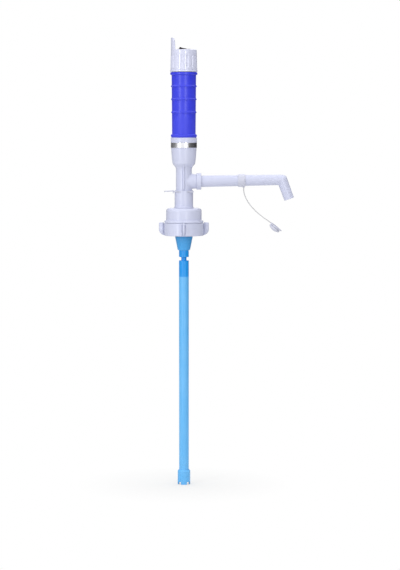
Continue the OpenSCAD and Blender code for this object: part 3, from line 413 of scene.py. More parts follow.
def smoothPath(points, perSpan=8):
    # Catmull-Rom curve through the points
    p = np.array(points, float)
    p = np.concatenate([[2 * p[0] - p[1]], p, [2 * p[-1] - p[-2]]])
    a, b, c, d = (p[k:len(p) - 3 + k, None] for k in range(4))
    t = (np.arange(perSpan) / perSpan)[None, :, None]
    curve = 0.5 * (2 * b + (c - a) * t + (2 * a - 5 * b + 4 * c - d) * t**2 + (3 * b - a - 3 * c + d) * t**3)
    return np.concatenate([curve.reshape(-1, p.shape[1]), p[-2:-1]])


def lengthAlong(path):
    # length from a path's start to each of its points
    return np.concatenate([[0], np.cumsum(np.linalg.norm(np.diff(path, axis=0), axis=1))])


def tubeOn(path, radius, columns):
    # a round tube along a path in the XZ plane, each of its rings square to the path's direction there
    heading = np.gradient(path, lengthAlong(path), axis=0)
    heading = heading / np.linalg.norm(heading, axis=1, keepdims=True)
    angle = circle(columns)
    lift = radius * np.cos(angle)
    x = path[:, :1] - heading[:, 1:] * lift
    z = path[:, 1:] + heading[:, :1] * lift
    return gridOf(x, radius * np.sin(angle), z)


def quarterRound(share):
    # how far a quarter circle stays back from a corner: 1 at share 0, the corner's end, and 0 at share 1
    return 1 - np.sqrt(1 - (1 - np.clip(share, 0, 1)) ** 2)


def shellOf(grid, capped):
    # faces of a grid whose columns close round; its rows close too, or end in a face at each end
    rows, columns = grid.shape[:2]
    i = np.arange(rows - 1 if capped else rows)[:, None]
    j = np.arange(columns)[None]
    below, right = (i + 1) % rows, (j + 1) % columns
    quads = np.stack([i * columns + j, i * columns + right, below * columns + right, below * columns + j], -1)
    quads = quads.reshape(-1, 4)
    ends = np.stack([np.arange(columns)[::-1], (rows - 1) * columns + np.arange(columns)])
    ends = ends if capped else ends[:0]
    points = grid.reshape(-1, 3)
    fans = [np.stack([0 * e[1:-1] + e[0], e[1:-1], e[2:]], -1) for e in ends]
    corners = points[np.concatenate([quads[:, :3], quads[:, [0, 2, 3]], *fans])]
    volume = np.einsum("ij,ij->", corners[:, 0], np.cross(corners[:, 1], corners[:, 2]))
    if volume < 0:
        quads, ends = quads[:, ::-1], ends[:, ::-1]
    return points, quads, ends


def makePiece(name, shells, *nodes):
    # one object from closed shells in mm, standing for CAD nodes and riding on their body
    points, faces, count = [], [], 0
    for grid, capped in shells:
        shellPoints, quads, ends = shellOf(grid, capped)
        points.append(shellPoints)
        faces += (quads + count).tolist() + (ends + count).tolist()
        count += len(shellPoints)
    mesh = bpy.data.meshes.new(name)
    mesh.from_pydata(np.concatenate(points) * mm, [], faces)
    mesh.polygons.foreach_set("use_smooth", np.ones(len(mesh.polygons), bool))
    mesh.update()
    piece = addObject(name, mesh)
    mesh.materials.append(finishOf(nodes[0]))
    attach(piece, bodyOf[nodes[0]])
    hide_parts(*nodes)
    return piece


def makeTurned(name, node, corners, steps=5, longest=1000.0, **about):
    # a piece that is a single turned shape
    loop = cutLong(roundLoop(corners, steps), longest)
    makePiece(name, [(spin(loop, **about), False)], node)


# Tether: a thin strap hanging from its ring to the spout's cap

tetherLook = Look(
    route=[
        (99.0, 40.30), (99.0, 36.8), (99.4, 33.0), (100.3, 29.0), (101.9, 25.0), (104.0, 20.4), (107.0, 15.6),
        (110.5, 10.8), (114.5, 6.0), (119.0, 1.4), (124.2, -3.0), (129.5, -7.2), (134.5, -11.0),
    ],
    end=(143.768, -17.612), endLead=(-3.2, 2.5), diameter=1.6, columns=20,
)


def makeTether():
    end = np.array(tetherLook.end)
    path = smoothPath(tetherLook.route + [tuple(end + tetherLook.endLead), tuple(end)])
    tube = tubeOn(path, tetherLook.diameter / 2, tetherLook.columns)
    piece = makePiece("hangingTether", [(tube, True)], "tether")
    centres = gridOf(path[:, 0], 0, path[:, 1]) * mm
    return piece, centres, lengthAlong(path)[-1] * mm


# Spout cap: a domed cup, its mouth in a round plate with a pull lip

capLook = Look(centre=(152.2, 0.0, -24.2), turn=38.0, twist=4.0, axis=0.02, domeRound=0.3)


def domeRows(radius, ball, low, steps=9):
    # points outwards from the axis on the lowest part of a ball: low + ball - sqrt(ball2 - r2)
    out = np.linspace(capLook.axis, radius, steps)
    return [(r, low + ball - math.sqrt(ball * ball - r * r), capLook.domeRound) for r in out]


def makeSpoutCap():
    look = Look(
        plate=10.2, plateHalf=0.8, cup=9.6, bore=8.5, deep=7.4, wall=1.1, dome=3.2, waist=1.4, waistIn=0.75,
        lip=12.0, lipHalf=3.0, anchor=10.7, anchorHalf=2.0, stripFrom=9.2, stripIn=0.05, stripRound=0.3,
        endFrom=0.7, endLong=0.32, endThin=0.35,
    )
    half, cup, start = look.plateHalf, look.cup, look.stripFrom
    ball = (cup**2 + look.dome**2) / (2 * look.dome)
    floor = half - look.deep
    waist, waistLow = cup - look.waistIn, -half - look.waist
    rows = domeRows(cup, ball, floor - look.wall)
    rows += [(cup, waistLow, 0.4), (waist, waistLow, 0.2), (waist, -half, 0.2)]
    rows += [(look.plate, -half, 0.3), (look.plate, half, 0.3), (look.bore, half, 0.5)]
    rows += domeRows(look.bore, ball - look.wall, floor)[::-1]
    shells = [(spin(roundLoop(rows), columns=96), False)]
    t = np.linspace(0, 1, 9)
    ease = np.sqrt(np.clip(1 - np.clip((t - look.endFrom) / look.endLong, 0, 1) ** 2, 0, 1))
    thick = half * (look.endThin + (1 - look.endThin) * ease) - look.stripIn
    for reach, wide in ((look.lip, look.lipHalf), (-look.anchor, look.anchorHalf)):
        along = np.sign(reach) * (start + (abs(reach) - start) * t)
        loops = np.stack([roundRect(wide * e, h, look.stripRound * e) for e, h in zip(ease, thick)])
        shells.append((gridOf(along[:, None], loops[..., 0], loops[..., 1]), True))
    turn, twist = math.radians(capLook.turn), math.radians(capLook.twist)
    hung = np.array(Matrix.Rotation(turn, 3, "Y") @ Matrix.Rotation(twist, 3, "X"))
    shells = [(grid @ hung.T + capLook.centre, capped) for grid, capped in shells]
    return makePiece("spoutCap", shells, "spout_cap")


tether, tetherPath, tetherLength = makeTether()
spoutCap = makeSpoutCap()
print("tether:", round(tetherLength, 4), "m")


# Bottle neck fitting

def makeNeckCup():
    flange, end, top = sizeOf("neck_cup")
    seat = sizeOf("neck_gasket")[2]
    look = Look(flangeOut=2.8, flangeTop=-13.8, flangeEnd=-17.9, edge=5.2, wall=1.6, mouth=14.72)
    cup = flange - look.flangeOut
    bore = cup - look.wall
    makeTurned("neckCup", "neck_cup", [
        (bore, end, 0.3), (cup, end, 0.4), (cup, look.flangeEnd, 0.3), (flange, look.flangeEnd, 1.1),
        (flange, look.flangeTop, 1.1), (cup, look.flangeTop, 0.9), (cup, top, look.edge),
        (look.mouth, top, 0.3), (look.mouth, seat, 0.2), (bore, seat, 0.4),
    ], steps=7)


def arcBlock(inner, outer, low, high, start, end, steps=24):
    # a piece of a ring between two angles in degrees, its section a rectangle with round corners
    angle = np.radians(np.linspace(start, end, steps))[:, None]
    section = roundRect((outer - inner) / 2, (high - low) / 2, 0.1)
    out = section[:, 0] + (outer + inner) / 2
    return gridOf(out * np.cos(angle), out * np.sin(angle), section[:, 1] + (high + low) / 2)


def makeNeckSleeve():
    # a turned tube and lip, joined by bridges between the clip's slots
    foot, end, top = sizeOf("neck_sleeve")
    shelf = sizeOf("neck_cup")[2]
    look = Look(
        inner=13.3, out=15.2, spigot=14.7, footEdge=0.9, footHigh=3.2, slotLow=32.6, slotHigh=34.8,
        bridges=[(-110.9, -69.1), (-47.4, 47.4), (69.1, 110.9)], bridgeIn=0.05, bridgeSunk=0.1,
    )
    inner, outer, slotLow, slotHigh = look.inner, look.out, look.slotLow, look.slotHigh
    tube = roundLoop([
        (inner, end, 0.2), (look.spigot, end, 0.4), (look.spigot, shelf, 0.1), (foot, shelf, 0.3),
        (foot, shelf + look.footEdge, 0.3), (outer, shelf + look.footHigh, 2.4), (outer, slotLow, 0.3),
        (inner, slotLow, 0.2),
    ])
    lip = roundLoop([(inner, slotHigh, 0.1), (outer, slotHigh, 0.3), (outer, top, 0.5), (inner, top, 0.4)])
    shells = [(spin(tube), False), (spin(lip), False)]
    thin, sunk = look.bridgeIn, look.bridgeSunk
    for start, stop in look.bridges:
        bridge = arcBlock(inner + thin, outer - thin, slotLow - sunk, slotHigh + sunk, start, stop)
        shells.append((bridge, True))
    makePiece("neckSleeve", shells, "neck_sleeve")


def makeWingRing():
    # a turned ring dented beside each wing, and wings stacked from level outlines: crowned end, waisted root
    tip, end, top = sizeOf("wing_ring")
    look = Look(
        ring=32.6, bore=29.7, lip=27.9, lipHigh=1.8,
        spread=0.12, dentAt=2.2, dentHalf=0.75, dentDeep=0.8,
        wingHalf=1.5, foot=0.8, rise=1.1, corner=9.6, topCorner=1.8, edge=0.9, crown=3.2,
        waist=0.5, waistLong=1.2, waistStep=0.2, headLong=0.9, root=2.0, rootLong=1.6,
        freeFrom=0.3, freeLong=0.4,
    )
    ring, bore, lipTop = look.ring, look.bore, end + look.lipHigh
    loop = roundLoop([
        (look.lip, end, 0.5), (ring, end, 1.2), (ring, top, 1.1), (bore, top, 0.4), (bore, lipTop, 0.2),
        (look.lip, lipTop, 0.3),
    ], steps=7)
    skin = np.clip((loop[:, :1] - bore) / (ring - bore), 0, 1)
    shells = [(dentedSpin(loop, skin, look, 4), False)]
    foot, crest = end + look.foot, top + look.rise
    z = foot + (crest - foot) * (1 - np.cos(np.linspace(0, math.pi, 33))) / 2
    reach = tip - look.corner * quarterRound((z - foot) / look.corner)
    reach = reach - look.topCorner * quarterRound((crest - z) / look.topCorner)
    edge = quarterRound(np.minimum(z - foot, crest - z) / look.edge)
    half = look.wingHalf - look.edge * edge
    loops = []
    for level, r, h in zip(z, reach, half):
        turn = math.asin(h / look.crown) * np.linspace(-1, 1, 9)
        nose = np.stack([r - look.crown * (1 - np.cos(turn)), look.crown * np.sin(turn)], -1)
        neck = min(ring + look.waistLong, r - look.headLong)
        free = level > top - look.freeFrom
        root = neck - look.freeLong if free else min(ring - look.root, r - look.rootLong)
        thin = h * look.waist
        side = np.array([(neck, h), (neck - look.waistStep, thin), (root, thin)])
        loops.append(np.concatenate([nose, side, side[::-1] * [1, -1]]))
    loops = np.stack(loops)
    wing = gridOf(loops[..., 0], loops[..., 1], z[:, None])
    for quarter in range(4):
        c, s = math.cos(quarter * tau / 4), math.sin(quarter * tau / 4)
        shells.append((wing @ np.array([[c, s, 0], [-s, c, 0], [0, 0, 1]]), True))
    makePiece("wingRing", shells, "wing_ring")


def makeLockClip():
    # two legs joined by a half-round bow, a block behind the bow, and a tab that rounds off towards its end
    look = Look(
        leg=12.7, legHalf=1.3, thin=0.9, bow=-3.4, legEnd=16.2, height=33.7, bowEnd=-17.4, bossHalf=2.7,
        bossAt=[-1.0, -0.9, -0.6, 0.0, 0.25, 0.3], bossSize=[0.93, 0.985, 1.0, 1.0, 0.99, 0.96],
        tabHalf=5.5, tabLong=15.4, tabUp=1.4, dip=3.5, thinFrom=1.2, thinnest=0.25,
    )
    leg, height = look.leg, look.height
    straight = np.linspace(look.legEnd, look.bow, 12)
    angle = np.linspace(-tau / 4, -3 * tau / 4, 40)[1:-1]
    x = np.concatenate([straight, look.bow + leg * np.cos(angle), straight[::-1]])
    y = np.concatenate([0 * straight - leg, leg * np.sin(angle), 0 * straight + leg])
    step = np.stack([np.gradient(x), np.gradient(y)], -1)
    step /= np.linalg.norm(step, axis=1, keepdims=True)
    side, up = roundRect(look.legHalf, look.thin, 0.45).T
    bow = gridOf(x[:, None] - step[:, 1:] * side, y[:, None] + step[:, :1] * side, height + up)
    side, up = roundRect(look.tabHalf, look.bossHalf, 0.6).T
    bossX = look.bowEnd + np.array(look.bossAt)[:, None]
    ease = np.array(look.bossSize)[:, None]
    boss = gridOf(bossX, ease * side, height + ease * up)
    along = (1 - np.cos(np.linspace(0, math.pi / 2, 28)))[::-1]
    along = look.tabLong * (1 - along / along.max())
    rounding = np.clip((along - (look.tabLong - look.tabHalf)) / look.tabHalf, 0, 0.999)
    wide = look.tabHalf * np.sqrt(1 - rounding**2)
    thin = look.thin * np.clip(wide / look.thinFrom, look.thinnest, 1.0)
    loops = np.stack([roundRect(w, h, 0.5 * min(h, w)) for w, h in zip(wide, thin)])
    dip = math.radians(look.dip)
    tabX = look.bowEnd - along[:, None] * math.cos(dip) + loops[..., 1] * math.sin(dip)
    tabZ = height + look.tabUp - along[:, None] * math.sin(dip) + loops[..., 1] * math.cos(dip)
    tab = gridOf(tabX, loops[..., 0], tabZ)
    makePiece("lockClip", [(bow, True), (boss, True), (tab, True)], "lock_clip")


makeNeckCup()
makeNeckSleeve()
makeWingRing()
makeLockClip()
print("neck fitting made")


# Pump body with its side branch, the nut and the spout

branchHeight = sum(corner[2] for corner in boxOf("coupling_nut")) / 2


def makePumpBody():
    # a turned body, a crowned rib with dents beside it at the front and the back, and the branch
    end, adapterTop = sizeOf("pump_body")[1], sizeOf("intake_adapter")[2]
    bandLow, bandHigh = sizeOf("trim_band")[1:]
    floor, sleeveTop = sizeOf("motor_plate")[1], sizeOf("neck_sleeve")[2]
    look = Look(
        stem=13.0, bore=9.5, boreFoot=3.0, boreTop=60.5, spigot=10.8, spigotBore=8.3,
        spigotTop=2.0, groove=11.2, grooveLow=32.5, grooveHigh=34.9,
        bellUp=1.9, stemDrop=7.8, shoulder=18.7, shoulderDrop=1.0, bell=19.95, bellHigh=9.5,
        house=21.05, rim=20.1, rimIn=18.35, rimFoot=10.0, pocket=15.0,
        sealBore=8.5, sealFoot=67.0, shaftBore=5.5,
        ribHalf=1.0, ribCrown=2.2, ribOut=1.7, ribFlare=2.2, flareLong=7.0, ribGap=0.6,
        ribEdge=0.8, ribSunk=1.5,
        spread=0.25, dentAt=1.75, dentHalf=0.85, dentDeep=0.8, dentFade=4.0, dentSkin=0.3,
        branch=12.0, branchFrom=17.5, branchEnd=20.4, branchTip=24.7, branchTipR=11.4,
        branchBore=7.6, branchRoot=4.0, branchSunk=0.1, fillet=3.0, sideFillet=0.7, columns=120,
    )
    bell = floor + look.bellUp
    loop = cutLong(roundLoop([
        (look.spigotBore, end, 0.3), (look.spigot, end, 0.6), (look.spigot, adapterTop, 0.2),
        (look.stem, adapterTop, 0.4), (look.stem, look.grooveLow, 0.2), (look.groove, look.grooveLow, 0.2),
        (look.groove, look.grooveHigh, 0.2), (look.stem, look.grooveHigh, 0.2),
        (look.stem, bell - look.stemDrop, 9.0), (look.shoulder, bell - look.shoulderDrop, 6.0),
        (look.bell, bell + look.bellHigh, 30.0), (look.house, bandLow, 0.5), (look.rim, bandLow, 0.2),
        (look.rim, bandHigh, 0.3), (look.rimIn, bandHigh, 0.3), (look.rimIn, bell + look.rimFoot, 0.5),
        (look.pocket, bell, 0.5), (look.pocket, floor, 0.4), (look.sealBore, floor, 0.3),
        (look.sealBore, look.sealFoot, 0.3), (look.shaftBore, look.sealFoot, 0.3),
        (look.shaftBore, look.boreTop, 0.3), (look.bore, look.boreTop, 0.5),
        (look.bore, adapterTop + look.boreFoot, 0.5), (look.spigotBore, adapterTop + look.spigotTop, 0.5),
    ], steps=9), 6.0)
    outer = (loop[:, :1] > look.stem - look.dentSkin) & (loop[:, 1:] >= look.grooveHigh)
    skin = outer * np.clip((floor - loop[:, 1:]) / look.dentFade, 0, 1)
    shells = [(dentedSpin(loop, skin, look, 2), False)]
    z = np.linspace(sleeveTop + look.ribGap, floor, 24)
    flare = look.ribFlare * np.clip((z - floor) / look.flareLong + 1.0, 0, 1) ** 2
    edge = look.ribEdge * quarterRound((z - z[0]) / look.ribEdge)
    crest = (look.stem + look.ribOut + flare - edge)[:, None]
    turn = math.asin(look.ribHalf / look.ribCrown) * np.linspace(-1, 1, 11)
    across, back = look.ribCrown * np.sin(turn), look.ribCrown * (np.cos(turn) - 1)
    out = np.concatenate([crest + back, look.stem - look.ribSunk + 0 * crest + 0 * back], 1)
    across = np.concatenate([across, across[::-1]])
    for side in (-1, 1):
        shells.append((gridOf(across, side * out, z[:, None]), True))
    shells.append((branchGrid(look), False))
    makePiece("pumpBody", shells, "pump_body")


def branchGrid(look):
    # a tube along X whose root widens in a quarter circle, less at the sides, down onto the round stem
    tipR, bore, inside = look.branchTipR, look.branchBore, look.branchRoot
    end, tipEnd = look.branchEnd, look.branchTip
    angle = circle(look.columns)
    quarter = np.linspace(0, tau / 4, 10)[:, None]
    side = np.cos(angle) ** 2
    fillet = look.fillet * (1 - side) + look.sideFillet * side
    wide = look.branch + fillet * (1 - np.sin(quarter))
    stemX = np.sqrt(look.stem**2 - (wide * np.cos(angle)) ** 2) - look.branchSunk
    rootX = stemX + fillet * (1 - np.cos(quarter))
    root = gridOf(rootX, wide * np.cos(angle), branchHeight + wide * np.sin(angle))
    tip = roundLoop([
        (look.branch, look.branchFrom, 0.1), (look.branch, end, 0.4), (tipR, end, 0.2), (tipR, tipEnd, 0.4),
        (bore, tipEnd, 0.4), (bore, inside, 0.1), (look.bore, inside, 0.1),
    ])
    return np.concatenate([root, spin(tip, "x", (0, 0, branchHeight), look.columns)])


def makeNut():
    low, high = boxOf("coupling_nut")
    look = Look(bore=11.7, endBore=9.9, endThick=1.3, edge=1.2)
    start, end, radius = low[0], high[0], high[1]
    step = end - look.endThick
    makeTurned("couplingNut", "coupling_nut", [
        (look.bore, start, 0.3), (radius, start, look.edge), (radius, end, look.edge),
        (look.endBore, end, 0.4), (look.endBore, step, 0.2), (look.bore, step, 0.2),
    ], steps=7, axis="x", centre=(0, 0, branchHeight))


spoutLook = Look(start=25.9, tilt=1.1)


def tilted(grid):
    # from the spout's own frame, along X from its seal, to its tilted place
    up = np.array(Matrix.Rotation(-math.radians(spoutLook.tilt), 3, "Y"))
    return grid @ up.T + (spoutLook.start, 0, branchHeight)


def makeSpout():
    # lines along a mitred tube, each rounded at the mitre by a parabola, long and drooping outside
    look = Look(
        elbow=162.7, turn=71.0, outlet=34.0, near=9.6, far=8.7, tip=8.35, bore=7.2, tipBore=6.8, droop=13.0,
        heel=4.2, crotch=0.6, bendHalf=6.0, collar=11.4, collarEnd=1.5, collarSunk=0.5, columns=96,
    )
    start, outlet, bend, crotch = spoutLook.start, look.outlet, look.bendHalf, look.crotch
    straight = look.elbow - start
    end = straight + outlet
    loop = cutLong(roundLoop([
        (look.bore, 0.0, 0.2), (look.near, 0.0, 0.3), (look.far, straight, 40.0),
        (look.tip, end, 0.5), (look.tipBore, end, 0.5), (look.tipBore, straight, 30.0),
    ]), 1.2)
    turn = math.radians(look.turn)
    angle = circle(look.columns)
    out, along = loop[:, :1], loop[:, 1:]
    lift = out * np.cos(angle)
    mitre = lift * math.tan(turn / 2)
    outside = (0.5 + 0.5 * np.cos(angle)) ** 2
    before = crotch + (look.droop - crotch) * outside
    after = crotch + (look.heel - crotch) * outside
    t = np.clip((along - straight) / bend / 2 + 0.5, 0, 1)
    share = np.clip(along / (straight - bend), 0, 1)
    rest = np.clip((along - straight - bend) / (outlet - bend), 0, 1)
    inLong = share * (straight + mitre - before) + before * (1 - (1 - t) ** 2)
    outLong = after * t**2 + rest * (outlet + mitre - after)
    x = inLong + outLong * math.cos(turn)
    z = lift - outLong * math.sin(turn)
    tube = tilted(gridOf(x, out * np.sin(angle), z))
    inner, outer, last = look.near - look.collarSunk, look.collar, start + look.collarEnd
    collar = roundLoop([(inner, start, 0.1), (outer, start, 0.3), (outer, last, 0.3), (inner, last, 0.1)])
    shells = [(tube, False), (spin(collar, "x", (0, 0, branchHeight)), False)]
    makePiece("spoutTube", shells, "spout_tube")


def makeTetherRing():
    # a turned ring on the spout, and under it a small lug for the strap
    low, high = boxOf("tether_ring")
    look = Look(
        middle=69.6, half=6.3, inner=9.48, shoulder=0.6, step=0.7, rim=1.9, lugHalf=1.4, lugTop=1.9,
        lugHigh=1.9, axis=0.05,
    )
    radius, first, last = high[1], look.middle - look.half, look.middle + look.half
    shoulder, foot, lugTop = radius - look.shoulder, low[2], low[2] + look.lugHigh
    loop = roundLoop([
        (look.inner, first, 0.15), (shoulder, first, 0.3), (shoulder, first + look.step, 0.2),
        (radius, first + look.rim, 0.5), (radius, last - look.rim, 0.5),
        (shoulder, last - look.step, 0.2), (shoulder, last, 0.3), (look.inner, last, 0.15),
    ])
    lug = roundLoop([
        (look.axis, foot, 0.1), (look.lugHalf, foot, 0.5), (look.lugTop, lugTop, 0.8),
        (look.axis, lugTop, 0.1),
    ])
    lugX = tetherLook.route[0][0]
    shells = [(tilted(spin(loop, "x")), False), (spin(lug, "z", (lugX, 0, 0), 40), False)]
    makePiece("tetherRing", shells, "tether_ring")


makePumpBody()
makeNut()
makeSpout()
makeTetherRing()
print("pump body and spout made")


# Handle: collar, chrome band, grip, cap and switch

def makeBatteryTube():
    collar, end, top = sizeOf("battery_tube")
    bandTop, gripFoot = sizeOf("trim_band")[2], sizeOf("grip_sleeve")[1]
    look = Look(inner=17.2, out=18.3)
    inner, outer = look.inner, look.out
    makeTurned("batteryTube", "battery_tube", [
        (inner, end, 0.2), (outer, end, 0.3), (outer, bandTop, 0.1), (collar, bandTop, 0.5),
        (collar, gripFoot, 0.8), (outer, gripFoot, 0.1), (outer, top, 0.3), (inner, top, 0.3),
    ])


def makeTrimBand():
    outer, end, top = sizeOf("trim_band")
    look = Look(thick=1.48, edge=0.35, columns=192)
    inner, edge = outer - look.thick, look.edge
    corners = [(inner, end, 0.1), (outer, end, edge), (outer, top, edge), (inner, top, 0.1)]
    makeTurned("trimBand", "trim_band", corners, columns=look.columns)


def makeGrip():
    # a tapered sleeve with a bead at its foot, a flange at its head and rings between
    end, top = sizeOf("grip_sleeve")[1:]
    look = Look(
        inner=18.32, foot=19.42, head=20.32, out=2.1, topHigh=4.3, footHigh=5.4, beadIn=1.2, beadHigh=2.4,
        beadDrop=1.0, beadSlope=0.9, rings=3, ringOut=1.2, ringHalf=2.0, ringDrop=23.0, ringPitch=21.5,
        ring=[(0.0, -0.8, 0.4), (1.0, -0.55, 0.5), (1.0, 0.3, 0.6), (0.0, 1.0, 0.8)], columns=192,
    )
    bead, flange = look.foot + look.out, look.head + look.out
    footTop, headLow = end + look.footHigh, top - look.topHigh

    def wall(z):
        # radius of the sleeve at a height
        return look.foot + (look.head - look.foot) * (z - end) / (top - end)

    corners = [
        (look.inner, end, 0.2), (bead - look.beadIn, end, 0.8), (bead, end + look.beadHigh, 0.7),
        (bead, footTop - look.beadDrop, 0.9), (bead - look.beadSlope, footTop, 0.6),
        (wall(footTop), footTop, 0.7),
    ]
    for ring in reversed(range(look.rings)):
        z = top - look.ringDrop - look.ringPitch * ring
        base = wall(z)
        corners += [(base + look.ringOut * out, z + look.ringHalf * up, edge) for out, up, edge in look.ring]
    corners += [(wall(headLow), headLow, 0.9), (flange, headLow, 1.3), (flange, top, 1.1)]
    corners += [(look.inner, top, 0.2)]
    makeTurned("gripSleeve", "grip_sleeve", corners, steps=6, longest=8.0, columns=look.columns)


switchLook = Look(
    capHigh=36.75, bezelOut=1.3, slack=0.02, wall=0.8,
    floor=261.55, pivot=266.55, tilt=12.0, rockerHalf=5.4,
)


def makeSwitchCap():
    # turned rows, shaped to the switch's opening inside and round further out, with flutes cut into the wall
    hemOut, end, guardTop = sizeOf("switch_cap")
    look = Look(
        inner=18.65, wall=21.3, foot=22.05, hemHigh=3.3, grooveDeep=0.4, grooveHigh=0.8, grooveSlope=0.2,
        topThick=2.5, edge=1.8, hole=1.0, square=14, roundFrom=2.0, flutes=16, fluteTurn=16.2,
        fluteDeep=0.9, fluteRound=2.6, fluteLow=6.8, fluteHigh=27.8, fluteSkin=1.0, fade=1.2, columns=480,
    )
    inside, hole, slope = look.inner, look.hole, look.grooveSlope
    top = end + switchLook.capHigh
    ceiling = top - look.topThick
    hem = end + look.hemHigh
    groove, grooveTop = look.foot - look.grooveDeep, hem + look.grooveHigh
    rows = cutLong(roundLoop([
        (hole, ceiling, 0.1), (inside, ceiling, 1.0), (inside, end, 0.3), (hemOut, end, 0.7),
        (hemOut, hem, 0.5), (groove, hem + slope, 0.2), (groove, grooveTop - slope, 0.2),
        (look.foot, grooveTop, 0.3), (look.wall, top, look.edge), (hole, top, 0.1),
    ], steps=7), 1.0)
    out, z = rows[:, :1], rows[:, 1:]
    angle = circle(look.columns)
    holeX, holeY = boxOf("switch_body")[1][:2] - switchLook.bezelOut + switchLook.slack
    across, aside = np.abs(np.cos(angle)) / holeX, np.abs(np.sin(angle)) / holeY
    opening = (across ** look.square + aside ** look.square) ** (-1 / look.square)
    ring = inside - look.roundFrom
    share = np.clip((out - hole) / (ring - hole), 0, 1)  # 0 at the opening, 1 on round rows
    radius = np.where(out < ring, opening + (ring - opening) * share, out)
    pitch = tau / look.flutes
    turned = angle - math.radians(look.fluteTurn) + pitch / 2
    offset = (np.mod(turned, pitch) - pitch / 2) * look.wall  # arc length from the middle of a flute
    flat = look.fluteRound - look.fluteDeep
    hollow = np.sqrt(np.clip(look.fluteRound**2 - offset**2, 0, None)) - flat
    flute = np.clip((hollow - offset**2 / 2 / look.wall) / look.fluteDeep, 0, 1)
    climb = z - end
    window = np.clip((climb - look.fluteLow) / look.fade, 0, 1)
    window = window * np.clip((look.fluteHigh - climb) / look.fade, 0, 1)
    window = window * window * (3 - 2 * window) * (out > inside + look.fluteSkin)
    radius = radius - look.fluteDeep * flute * window
    shell = gridOf(radius * np.cos(angle), radius * np.sin(angle), z)
    guard = guardGrid(look.wall, top, guardTop)
    makePiece("switchCap", [(shell, False), (guard, True)], "switch_cap")


def guardGrid(wall, foot, top):
    # a thin wall bent along the cap's rim at -X: rows up its height, each a long rounded section
    look = Look(thick=2.6, footHalf=13.7, topHalf=12.5, corner=5.0, edge=1.0, edgeIn=0.9, sunk=1.5)
    rise = top - foot
    share = np.concatenate([np.linspace(0, 0.8, 14), 0.8 + 0.2 * np.sin(np.linspace(0, tau / 4, 14)[1:])])
    z = foot - look.sunk + (rise + look.sunk) * share
    level = np.clip((z - foot) / rise, 0, 1)
    half = look.footHalf + (look.topHalf - look.footHalf) * level
    half = half - look.corner * quarterRound((top - z) / look.corner)
    thin = look.thick / 2 - look.edgeIn * quarterRound((top - z) / look.edge)
    middle = wall - look.thick / 2
    loops = np.stack([roundRect(h, t, 0.75 * t, arc=5, side=18) for h, t in zip(half, thin)])
    spread = np.arcsin(np.clip(loops[..., 0] / middle, -0.999, 0.999))
    out = middle + loops[..., 1]
    return gridOf(-out * np.cos(spread), out * np.sin(spread), z[:, None])


def makeSwitchBody():
    # rounded rectangles, from the body's foot up round the bezel and down into the rocker's pocket
    low, high = boxOf("switch_body")
    look = Look(edge=0.6, edgeIn=0.2, edgeDown=0.15, lip=0.3)
    shelf = sizeOf("switch_cap")[1] + switchLook.capHigh
    bezel, top, lip = high[:2], high[2], look.lip
    body = bezel - switchLook.bezelOut
    pocket = body - switchLook.wall
    rows = [  # half sizes, height, corner
        (body, low[2], 0.4), (body, shelf, 0.4), (bezel, shelf, 1.6), (bezel, top - look.edge, 1.6),
        (bezel - look.edgeIn, top - look.edgeDown, 1.5), (bezel - look.edge, top, 1.3),
        (pocket + lip, top, 0.7), (pocket, top - lip, 0.6), (pocket, switchLook.floor, 0.6),
    ]
    loops = np.stack([roundRect(*size, corner) for size, z, corner in rows])
    heights = np.array([[z] for size, z, corner in rows])
    makePiece("switchBody", [(gridOf(loops[..., 0], loops[..., 1], heights), True)], "switch_body")


def makeRocker():
    # a side profile carried along Y, drawn in a little at both ends, and tipped about its pin
    look = Look(
        profile=[
            (-8.62, -1.0, 0.4), (8.62, -1.0, 0.4), (8.44, 1.2, 1.0), (7.4, 2.5, 0.6), (5.3, 2.9, 1.2),
            (3.4, 4.25, 0.9), (-2.9, 3.95, 8.0), (-6.4, 4.5, 0.7), (-7.5, 4.5, 0.5), (-8.44, 2.1, 3.0),
        ],
        ends=[(0.0, 0.45), (0.12, 0.14), (0.45, 0.0)],  # distance from the end, how far drawn in
        middle=1.4, reach=8.6, rise=2.7,
    )
    half, middle = switchLook.rockerHalf, look.middle
    profile = roundLoop(look.profile, steps=6)
    away, drawn = np.array(look.ends).T
    y = np.concatenate([away - half, [0.0], (half - away)[::-1]])[:, None]
    inset = np.concatenate([drawn, [0.0], drawn[::-1]])[:, None]
    x = profile[:, 0] * (1 - inset / look.reach)
    lift = middle + (profile[:, 1] - middle) * (1 - inset / look.rise)
    tilt = math.radians(switchLook.tilt)
    tippedX = x * math.cos(tilt) + lift * math.sin(tilt)
    tippedZ = switchLook.pivot - x * math.sin(tilt) + lift * math.cos(tilt)
    makePiece("switchRocker", [(gridOf(tippedX, y, tippedZ), True)], "switch_rocker")


makeBatteryTube()
makeTrimBand()
makeGrip()
makeSwitchCap()
makeSwitchBody()
makeRocker()
print("handle made")


# Dip tube and what carries it

def makeAdapter():
    outer, end, top = sizeOf("intake_adapter")
    tubeTop = sizeOf("dip_tube")[2]
    look = Look(
        socket=10.85, socketEnd=-53.3, cone=5.0, coneLong=21.7, coneFoot=10.15, stub=8.1, stubEnd=-74.6,
        waist=4.4, plug=6.28, bore=2.9, boreTop=8.3,
    )
    cone = top - look.cone
    coneEnd = cone - look.coneLong
    makeTurned("intakeAdapter", "intake_adapter", [
        (look.socket, top, 0.4), (outer, top, 0.8), (outer, cone, 2.5), (look.coneFoot, coneEnd, 0.7),
        (look.stub, coneEnd, 0.5), (look.stub, look.stubEnd, 0.7), (look.waist, look.stubEnd, 0.8),
        (look.waist, tubeTop, 0.3), (look.plug, tubeTop, 0.2), (look.plug, end, 0.5), (look.bore, end, 0.3),
        (look.bore, coneEnd, 0.5), (look.boreTop, look.socketEnd, 0.3), (look.socket, look.socketEnd, 0.3),
    ], steps=6, longest=5.0)


